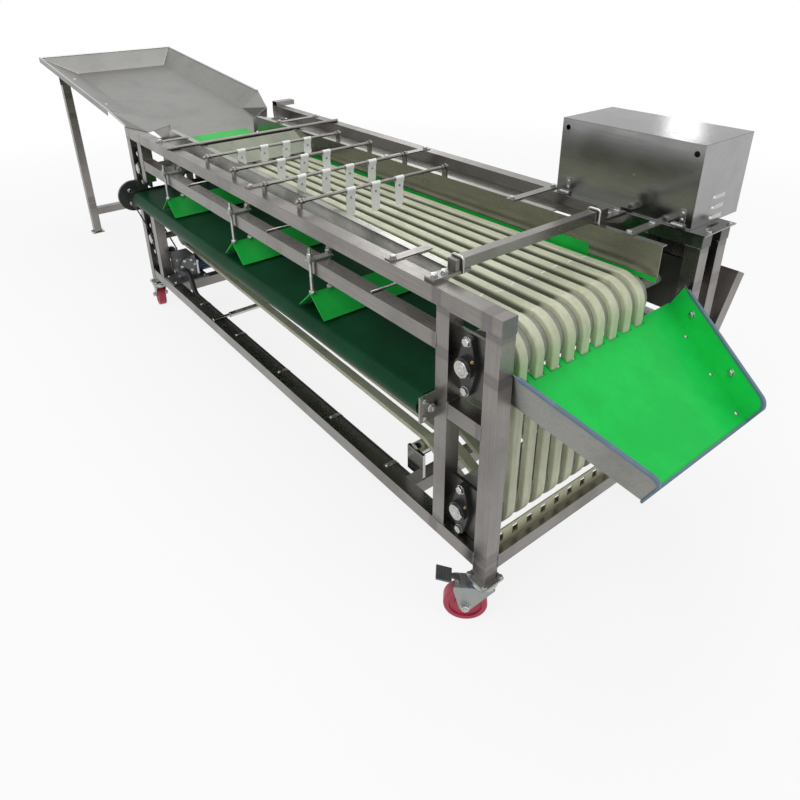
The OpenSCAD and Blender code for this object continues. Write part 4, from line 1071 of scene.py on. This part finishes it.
@dataclass
class BeltSplices(Assembly):
    """Welded splice of each grading belt: a low pale bead across its top, a little askew."""

    place: float = -200.0
    top: float = 710.0
    middle: float = 298.0
    pitch: float = 48.4
    half: float = 9.0

    def build(self) -> None:
        """Nine beads in a rough line over the discharge end of the deck."""
        chance = np.random.default_rng(23)
        beads = []
        for y in self.middle + self.pitch * np.arange(-4, 5):
            x = self.place + chance.uniform(-7.0, 7.0)
            skew = chance.uniform(-5.0, 5.0)
            path = np.linspace((x - skew, y - self.half, self.top), (x + skew, y + self.half, self.top), 12)
            beads.append(Patch.swept(circle(10, 1.7, 0.7), path, UP))
        Patch.joined(beads).emit("belt_splices", self.finish.strip, "cream_belt")


@dataclass
class DividerTents(Assembly):
    """Threaded rods, nuts, washers and saddles that hang each divider tent."""

    places: tuple[float, float, float] = (-1621.0, -1090.0, -642.0)
    rod_rows: tuple[float, float, float] = (-8.0, 46.0, 644.0)
    saddle_rows: tuple[tuple[float, float], ...] = ((-16.2, 54.2), (635.8, 682.2))
    ridge: float = 600.0
    saddle: float = 693.3
    top: float = 724.0
    pitch: float = 1.5
    sides: int = 14

    def thread(self) -> Patch:
        """Thread as a helix: root, crest, root carried round and up by one pitch a turn."""
        count = int((self.top - self.ridge) / self.pitch) * self.sides + 1
        turn = np.arange(count)[:, None] / self.sides
        radius, lift = np.array([4.06, 4.62, 4.06]), np.array([0.0, 0.5, 1.0])
        angle = 2 * np.pi * turn
        return Patch.grid(np.dstack([radius * np.cos(angle), radius * np.sin(angle), (turn + lift) * self.pitch]))

    def build(self) -> None:
        """One set of rods, nuts and saddles for each tent, on the tent's own body."""
        m8 = Hardware(8.0)
        nut = Patch.joined([m8.washer(), m8.hexagon(m8.thick, 7.6)])
        for k, x in enumerate(self.places, 1):
            body = f"tent_{k}"
            rods = product((x,), self.rod_rows, (self.ridge - 1.5,))
            nuts = product((x,), self.rod_rows, (self.ridge, self.saddle, self.saddle + 8.6))
            threads = self.thread().placed(list(rods), UP)
            threads.emit(f"{body}_threads", self.finish.zinc, "zinc", body, 70.0)
            nut.placed(list(nuts), UP, (0, 20, 40)).emit(f"{body}_nuts", self.finish.bright, "zinc", body)
            plates = [Patch.box((x - 12.2, y0, 688.4), (x + 12.2, y1, self.saddle + 0.1), 0.5)
                      for y0, y1 in self.saddle_rows]
            Patch.joined(plates).emit(f"{body}_saddles", self.finish.zinc, "zinc", body)


@dataclass
class DriveCover(Assembly):
    """Pressed louvres, hinge leaves and screws of the drive cover."""

    first: Spot = (-27.0, 713.0, 801.0)
    front: float = 640.0
    pitch: float = 25.0
    length: float = 52.0
    hinges: tuple[float, float] = (-385.0, -57.7)

    def louvre(self) -> Patch:
        """Pressed hood: a quarter-sine bulge across, flattened to nothing at both ends by a sixth power."""
        a = np.linspace(-2.0, self.length + 2.0, 25)[:, None]
        b = np.linspace(0.0, 1.0, 9)
        tall = 5.0 * (1.0 - np.abs(2.0 * a / self.length - 1.0) ** 6).clip(0.0)
        out = tall * np.sin(0.5 * np.pi * b)
        outer = np.dstack(np.broadcast_arrays(out + 0.4, a, 8.0 - 7.4 * b))
        return Patch.tube(np.concatenate([outer, outer[:, ::-1] - (0.9, 0.0, 0.0)], axis=1))

    def build(self) -> None:
        """Louvres on the end panel, leaves and screws at both front hinges, bolts through the plate's edge."""
        hood = self.louvre()
        hoods = [hood.at(hood.points + self.first + (0.0, 0.0, k * self.pitch)) for k in range(3)]
        Patch.joined(hoods).emit("cover_louvres", self.finish.polished, body="box_cover", sharp=50.0)
        leaves = [Patch.box((x + 0.6, self.front - 1.6, 800.6), (x + 13.6, self.front + 0.05, 838.0))
                  for x in self.hinges]
        screws = [(x + 7.0, self.front - 1.6, z) for x in self.hinges for z in (812.0, 828.0)]
        heads = Hardware(4.0).dome_screw().placed(screws, DOWN_Y)
        Patch.joined([*leaves, heads]).emit("cover_leaves", self.finish.bright, body="box_cover")
        bases = [Patch.box((x - 14.4, 631.2, 790.9), (x - 1.0, 636.0, 792.6)) for x in self.hinges]
        Patch.joined(bases).emit("cover_leaf_bases", self.finish.bright)
        edge = [(7.0, 660.0, 791.0), (7.0, 750.0, 791.0)]
        Hardware(6.0).bolt().placed(edge, UP).emit("plate_bolts", self.finish.bright)


@dataclass
class ConveyorDrive(Assembly):
    """Motor fins, terminal box, gearbox bolts and both roller chains."""

    motor_x: float = -1835.0
    motor_z: float = 237.0
    motor_r: float = 36.0
    link_end: float = 3.0
    link_waist: float = 1.9
    roller: float = 2.4

    def motor(self) -> Patch:
        """Shell whose radius swells into square fins by angle, with none underneath; cowl and terminal box."""
        x, z = self.motor_x, self.motor_z
        a = np.linspace(0.0, 2 * np.pi, 288, endpoint=False)
        fins = np.clip(4.0 * np.sin(24 * a) + 0.5, 0.0, 1.0)
        under = np.clip((np.sin(a) + 0.45) * 6.0, 0.0, 1.0)
        flat = arc(a) * (self.motor_r + 0.3 + 4.2 * fins * under)[:, None]
        rows = ((124.0, 0.97), (126.0, 1.0), (236.0, 1.0), (238.5, 0.97))
        shell = Patch.tube([np.insert(draw * flat + (x, z), 1, y, axis=1) for y, draw in rows])
        cowl = Patch.turned([(34.0, 0.0), (35.5, 1.5), (35.5, 15.0), (32.0, 19.0), (8.0, 20.0), (1.0, 20.0)], 48)
        return Patch.joined([
            shell,
            cowl.placed([(x, 238.0, z)], UP_Y),
            Patch.box((x - 24, 148, 272), (x + 24, 206, 294), 2.0),
            Patch.box((x - 26, 146, 294), (x + 26, 208, 299), 1.2),
        ])

    def chain(
        self, start: complex, end: complex, radius: float, links: int, width: float, order: list[int], at: float
    ) -> Patch:
        """Roller chain: waisted plates and rollers set along a stadium path, inner and outer links in turn.

        Args:
            start: middle of the first sprocket in the chain's plane, as a complex number.
            end: middle of the second one.
            radius: pitch radius of both.
            links: number of links.
            width: width over the outer plates.
            order: columns of (plane, plane, depth) that give x, y and z.
            at: the plane's depth.

        Returns:
            The closed chain.
        """
        span, half = abs(end - start), np.pi * radius
        d = (end - start) / span
        arm = 1j * d * radius
        s = np.arange(links) * 2 * (span + half) / links
        pins = np.select(
            [s < span, s < span + half, s < 2 * span + half],
            [start - arm + d * s,
             end - arm * np.exp(1j * (s - span) / radius),
             end + arm - d * (s - span - half)],
            start + arm * np.exp(1j * (s - 2 * span - half) / radius))
        k = np.linspace(-0.5 * np.pi, 0.5 * np.pi, 6)
        parts = []
        for i, (p, q) in enumerate(zip(pins, np.roll(pins, -1))):
            along = (q - p) / abs(q - p)
            tip, waist = self.link_end * along * np.exp(1j * k), self.link_waist * 1j * along
            outline = np.concatenate([q + tip, [(p + q) / 2 + waist], p - tip, [(p + q) / 2 - waist]])
            outer = width / 2 - (0.0 if i % 2 else 1.1)
            rim = p + self.roller * np.exp(2j * k[:-1])
            plate, ring = (np.column_stack([z.real, z.imag]) for z in (outline, rim))
            for low in (-outer, outer - 1.0):
                parts.append(Patch.prism(plate, at + low, at + low + 1.0))
            parts.append(Patch.prism(ring, at - width / 2 + 0.2, at + width / 2 - 0.2))
        made = Patch.joined(parts)
        return made.at(made.points[:, order])

    def gear_bolts(self) -> Patch:
        """Bolts of the motor flange, the gearbox covers and its feet, and the drain plug."""
        x, bolt = self.motor_x, Hardware(6.0).bolt()
        cover = arc(np.radians([0.0, 60.0, 120.0, 180.0, 300.0]), 26.0) + (80.0, 258.0)
        return Patch.joined([
            bolt.placed(list(product((x - 44.0, x + 44.0), (122.0,), (212.0, 262.0))), UP_Y),
            bolt.placed(np.insert(cover, 0, -1782.0, axis=1), (1, 0, 0)),
            bolt.placed(list(product((x - 36.0, x + 36.0), (45.0,), (212.0, 284.0))), DOWN_Y),
            bolt.placed(list(product((-1850.0, -1772.0), (16.0, 140.0), (201.0,))), UP),
            Hardware(10.0).bolt().placed([(x, 45.0, 224.0)], DOWN_Y),
        ])

    def build(self) -> None:
        """Gearbox and motor details, then the two chains, which stand for the CAD loops."""
        self.motor().emit("motor_shell", self.finish.motor, "blue_paint", sharp=40.0)
        self.gear_bolts().emit("gear_bolts", self.finish.bright)
        Patch.box((-1886.4, 114.6, 200.8), (-1783.6, 122.4, 271.4), 0.6).emit("gear_flange", self.finish.polished)
        conveyor = self.chain(-12.0 + 512.0j, 80.0 + 258.0j, 27.6, 56, 6.0, [2, 0, 1], -1971.0)
        deck = self.chain(-98.0 + 640.0j, -98.0 + 850.0j, 39.6, 52, 8.0, [0, 2, 1], 710.0)
        chains = Patch.joined([conveyor, deck]).emit("roller_chains", self.finish.chain, "dark_cast", sharp=30.0)
        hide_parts("chains")


@dataclass
class Casters(Assembly):
    """Raceways, axle nuts, plate bolts, hub caps and pedal ribs of the casters."""

    spots: tuple[Spot, ...] = (
        (-19.0, 19.0, 227.0), (-19.0, 671.0, 205.0), (-2001.0, 19.0, 170.0), (-2001.0, 671.0, 190.0))
    trail: float = 40.0
    wheel_r: float = 50.0
    cheek: float = 20.5
    hub_face: float = 13.7
    plate: float = 128.0
    braked: int = 2

    def build(self) -> None:
        """Pieces of each caster, on its fork, wheel or pedal; the third number of a spot is its heading."""
        corners = [corner for x, y, _ in self.spots for corner in foursquare(x, y, self.plate)]
        Hardware(6.0).bolt().placed(corners, UP).emit("caster_bolts", self.finish.bright, "zinc")
        race = Patch.ring([(26.9, 111.0), (30.0, 112.0), (31.0, 115.0), (29.5, 119.5), (26.9, 121.2)], 48)
        nut = Hardware(10.0).nut()
        hub = Patch.ring([(6.6, 0.0), (22.5, 0.0), (21.0, 1.6), (11.0, 2.6), (9.0, 3.2), (6.6, 3.2)], 36)
        for k, (x, y, heading) in enumerate(self.spots, 1):
            h = math.radians(heading)
            side = np.array([-math.sin(h), math.cos(h), 0.0])
            axle = np.array([x + self.trail * math.cos(h), y + self.trail * math.sin(h), self.wheel_r])
            nuts = [nut.placed([axle + s * self.cheek * side], s * side) for s in BOTH]
            caps = [hub.placed([axle + s * self.hub_face * side], s * side) for s in BOTH]
            top = race.placed([(x, y, 0.0)], UP)
            Patch.joined([top, *nuts]).emit(f"caster_{k}_race", self.finish.bright, "zinc", f"fork_{k}")
            Patch.joined(caps).emit(f"caster_{k}_hub", self.finish.zinc, "zinc", f"wheel_{k}")
            if k <= self.braked:
                ribs = self.pedal_ribs(x + 1j * y, np.exp(1j * h))
                ribs.emit(f"pedal_{k}_ribs", self.finish.dark_zinc, "zinc", f"pedal_{k}")

    def pedal_ribs(self, swivel: complex, ahead: complex) -> Patch:
        """Tread ribs across the pedal: round bars on its tilted face.

        Args:
            swivel: the swivel's place on the floor plan, as a complex number.
            ahead: the caster's heading there, of length one.

        Returns:
            The five bars.
        """
        tilt, root = np.exp(1j * math.radians(14.0)), 60.0 + 115.5j
        bars = []
        for out in (20.0, 26.0, 32.0, 38.0, 44.0):
            tread = root + (out + 5.4j) * tilt
            run = swivel + (tread.real + 1j * np.linspace(-16.0, 16.0, 6)) * ahead
            path = np.column_stack([run.real, run.imag, np.full(6, tread.imag)])
            bars.append(Patch.swept(circle(10, 1.1), path, UP))
        return Patch.joined(bars)


@dataclass
class LevelRows(Assembly):
    """Rods with their collars, and the soft strips with their rivets, of the levelling rows."""

    places: tuple[float, ...] = (-1286.0, -1098.0, -911.0, -724.0)
    rows: tuple[tuple[float, ...], ...] = ((138.0, 220.0, 302.0, 384.0), (177.0, 259.0, 341.0)) * 2
    drops: tuple[float, ...] = (50.0, 55.0, 63.0, 76.0)
    rod_z: float = 815.0
    rod_r: float = 5.0
    half: float = 14.0
    thin: float = 0.6
    pinch: float = -16.0

    def rod(self, x: float) -> Patch:
        """Bright rod with rounded ends and two slim collars."""
        r = self.rod_r
        bar = Patch.turned([(2.0, 9.6), (r - 1, 9.9), (r, 11.0), (r, 521.0), (r - 1, 522.1), (2.0, 522.4)], 24)
        collar = Patch.ring([(r, 0.0), (7.1, 0.0), (7.5, 0.4), (7.5, 4.6), (7.1, 5.0), (r, 5.0)], 32)
        collars = collar.placed([(0.0, 0.0, 29.0), (0.0, 0.0, 498.0)], UP)
        return Patch.joined([bar, collars]).placed([(x, 0.0, self.rod_z)], UP_Y)

    def strip(self, x: float, y: float, drop: float, bend: float) -> Patch:
        """Soft strap folded over the rod: a loop round it, pinched below, with a long front and a short back.

        Args:
            x: the rod's place along.
            y: the strap's place across.
            drop: how far the front leaf hangs below the rod's middle.
            bend: how far its end curls forward.

        Returns:
            The strap, its free end drawn in a little.
        """
        up = np.linspace(-drop, self.pinch, 14)
        ease = ((up - self.pinch) / (-self.pinch - drop)) ** 2
        front = np.column_stack([-0.75 - bend * ease, up])
        loop = arc(np.radians(np.linspace(205.0, -25.0, 25)), self.rod_r + 0.9)
        back = np.linspace((0.75, self.pinch), (0.75, self.pinch - 10.0), 5)
        path = np.insert(np.concatenate([front, loop, back]) + (x, self.rod_z), 1, y, axis=1)
        taper = np.ones((len(path), 2))
        taper[:3, 1] = (0.72, 0.9, 0.98)
        half, thin = self.half, self.thin
        section = [(-thin, -half), (-thin, 0.0), (-thin, half), (thin, half), (thin, 0.0), (thin, -half)]
        return Patch.swept(section, path, UP_Y, False, taper)

    def rivets(self, x: float, strips: Sequence[float]) -> Patch:
        """Dome rivets through both leaves of each strap, under its loop."""
        head = Hardware(4.0).dome_screw()
        height = self.rod_z - 20.5
        return Patch.joined([head.placed([(x + s * 1.35, y, height) for y in strips], (s, 0, 0)) for s in BOTH])

    def build(self) -> None:
        """Straps in place of each CAD row, its bright rod and the rivets, on the row's own body."""
        bends = np.random.default_rng(11).uniform(-5.0, 6.0, (len(self.places), 4))
        for k, (x, strips, drop, curls) in enumerate(zip(self.places, self.rows, self.drops, bends), 1):
            body = f"level_row_{k}"
            straps = Patch.joined([self.strip(x, y, drop, float(curl)) for y, curl in zip(strips, curls)])
            made = straps.emit(f"{body}_straps", self.finish.strip, "clear_strip", body, 50.0)
            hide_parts(body)
            self.rod(x).emit(f"{body}_rod", self.finish.cross, "clear_strip", body)
            self.rivets(x, strips).emit(f"{body}_rivets", self.finish.zinc, "clear_strip", body)


@dataclass
class Conduit(Assembly):
    """Corrugated black conduit along the near bottom rail, with its clips."""

    radius: float = 10.0
    start: Spot = (-1781.0, 70.0, 235.0)
    bend: float = 150.0
    level: tuple[float, float] = (48.5, 184.0)
    end: float = -319.5
    rib: float = 4.2
    clip_places: tuple[float, ...] = (-1540.0, -1240.0, -940.0, -640.0, -380.0)

    def route(self, count: int) -> np.ndarray:
        """Centreline: a cosine easing down to the rail's height, then straight along it."""
        x = np.linspace(self.start[0], self.end, count)
        t = np.clip((x - self.start[0]) / self.bend, 0.0, 1.0)
        w = 0.5 - 0.5 * np.cos(np.pi * t)
        y, z = (a + (b - a) * w for a, b in zip(self.start[1:], self.level))
        return np.column_stack([x, y, z])

    def clip(self) -> Patch:
        """Steel strap over the conduit: tab on the rail's top, half circle round the tube, tab inside."""
        r = self.radius + 0.7
        low = self.level[1] - r
        bow = arc(np.linspace(0.5 * np.pi, -0.5 * np.pi, 17), r) + self.level
        lead = [(18.0, 195.7), (30.0, 195.7), (40.0, 195.5)]
        tail = [(42.0, low), (38.9, low - 1.6), (38.7, 160.0)]
        path = np.insert(np.concatenate([lead, bow, tail]), 0, 0.0, axis=1)
        return Patch.swept(oblong(0.6, 7.0), path, (1, 0, 0))

    def build(self) -> None:
        """Ribbed tube in place of the CAD one, then its clips and their screws."""
        path = self.route(int((self.end - self.start[0]) / self.rib * 4))
        run = np.concatenate([[0.0], np.cumsum(np.linalg.norm(np.diff(path, axis=0), axis=1))])
        swell = 0.965 + 0.035 * np.sin(2 * np.pi * run / self.rib)
        ribbed = Patch.swept(circle(20, self.radius), path, UP, False, swell)
        tube = ribbed.emit("cable_conduit", self.finish.black, "black_conduit", sharp=50.0)
        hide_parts("conduit")
        route = world(self.route(240))
        straps = self.clip().placed([(x, 0.0, 0.0) for x in self.clip_places], UP)
        screws = Hardware(5.0).dome_screw().placed([(x, 23.0, 196.3) for x in self.clip_places], UP)
        Patch.joined([straps, screws]).emit("conduit_clips", self.finish.bright)


@dataclass
class Studio:
    """Camera, lamps, world and floor."""

    focal_px: float = 670.46
    image: float = 800.0
    centre: tuple[float, float] = (388.8, 294.42)
    angles: tuple[float, float, float] = (52.9, 26.54, -0.95)
    eye: Spot = (2.2126, -1.1836, 1.3573)
    ambient: float = 0.42
    glow: float = 0.84
    floor_reach: float = 60.0
    floor_z: float = -0.0005

    def aimed(self, name: str, data: Any, axes: Points, place: Sequence[float]) -> bpy.types.Object:
        """A camera or lamp set by its three axes and its place."""
        turn = np.eye(4)
        turn[:3, :3] = np.column_stack(axes)
        turn[:3, 3] = place
        made = linked(name, data)
        made.matrix_world = Matrix(turn.tolist())
        return made

    def camera(self) -> None:
        """Camera at the solved azimuth, elevation and roll, shifted to the solved image centre."""
        a, e, r = (math.radians(v) for v in self.angles)
        back = np.array([math.sin(a) * math.cos(e), -math.cos(a) * math.cos(e), math.sin(e)])
        right = np.array([math.cos(a), math.sin(a), 0.0])
        up = np.cross(back, right)
        x = math.cos(r) * right + math.sin(r) * up
        y = -math.sin(r) * right + math.cos(r) * up
        data = bpy.data.cameras.new("camera")
        data.sensor_width = 36.0
        data.lens = self.focal_px * data.sensor_width / self.image
        data.shift_x = (self.image / 2 - self.centre[0]) / self.image
        data.shift_y = (self.centre[1] - self.image / 2) / self.image
        data.clip_end = 200.0
        bpy.context.scene.camera = self.aimed("camera", data, (x, y, back), self.eye)

    def lamp(self, name: str, place: Spot, target: Spot, size: float, watts: float) -> None:
        """Square soft lamp that faces a target."""
        data = bpy.data.lights.new(name, "AREA")
        data.size = size
        data.energy = watts
        z = unit(np.subtract(place, target))
        x = unit(np.cross((0.0, 1.0, 0.0), z))
        self.aimed(name, data, (x, np.cross(z, x), z), place)

    def surroundings(self) -> None:
        """White to the camera and in reflections, a dimmer even light on the object."""
        scene = bpy.context.scene
        scene.view_settings.view_transform = "Standard"
        g = Graph(bpy.data.worlds.new("studio"), "ShaderNodeOutputWorld")
        tones = (((0.96, 0.98, 1.0), self.ambient), ((1.0, 1.0, 1.0), 1.0))
        dim, white = (g.node("ShaderNodeBackground", None, {"Color": c, "Strength": s}) for c, s in tones)
        scene.world = g.surface(g.mixed(g.seen(), dim, white))

    def floor(self) -> None:
        """Wide pale floor that glows to the eye and in reflections; far out the glow hides every shadow."""
        mesh = bpy.data.meshes.new("floor")
        corners = [(x, y, self.floor_z) for x, y in oblong(self.floor_reach, self.floor_reach)]
        mesh.from_pydata(corners, [], [(0, 1, 2, 3)])
        g = Graph(bpy.data.materials.new("pale_floor"))
        tone = g.blend((0.93, 0.93, 0.93), (0.90, 0.90, 0.90), g.noise(0.8, 3.0, 0.5))
        pale = g.principled(Base_Color=tone, Roughness=0.8)
        glow = g.node("ShaderNodeEmission", None, {"Color": (1.0, 1.0, 1.0), "Strength": 1.0})
        away = g.node("ShaderNodeVectorMath", {"operation": "LENGTH"}, {0: g.place}, "Value").ease(2.4, 4.4)
        share = g.seen() * (self.glow + away * (1.0 - self.glow))
        mesh.materials.append(g.surface(g.mixed(share, pale, glow)))
        linked("floor", mesh)

    def build(self) -> None:
        """Camera first, then light and floor."""
        self.camera()
        self.surroundings()
        self.floor()
        self.lamp("key", (1.4, -3.2, 4.2), (0.0, 0.0, 0.5), 3.0, 70.0)
        self.lamp("top", (-0.6, 0.6, 4.6), (-0.2, 0.0, 0.6), 3.4, 62.0)
        self.lamp("end", (4.6, 1.2, 2.4), (0.6, 0.0, 0.6), 2.2, 26.0)
        self.lamp("rail_glint", (-3.6, 3.6, 3.3), (0.3, 0.0, 0.8), 1.1, 11.0)
        self.lamp("cover_glint", (-2.1, 6.6, 2.55), (1.3, 0.3, 0.98), 0.42, 2.4)


ASSEMBLIES: tuple[type[Assembly], ...] = (
    Conduit, WeldedFrame, RollerBearings, FeedTray, Chute, CrossConveyor, DeckAprons, BeltSplices, DividerTents,
    DriveCover, ConveyorDrive, Casters, LevelRows)


def main() -> None:
    """Builds the studio, dresses the CAD nodes and adds every detailed piece."""
    logging.basicConfig(level=logging.INFO, format="%(name)s %(message)s")
    Studio().build()
    finish = Finishes()
    for kind in ASSEMBLIES:
        kind(finish).build()
    bpy.context.view_layer.update()


if __name__ == "__main__":
    main()
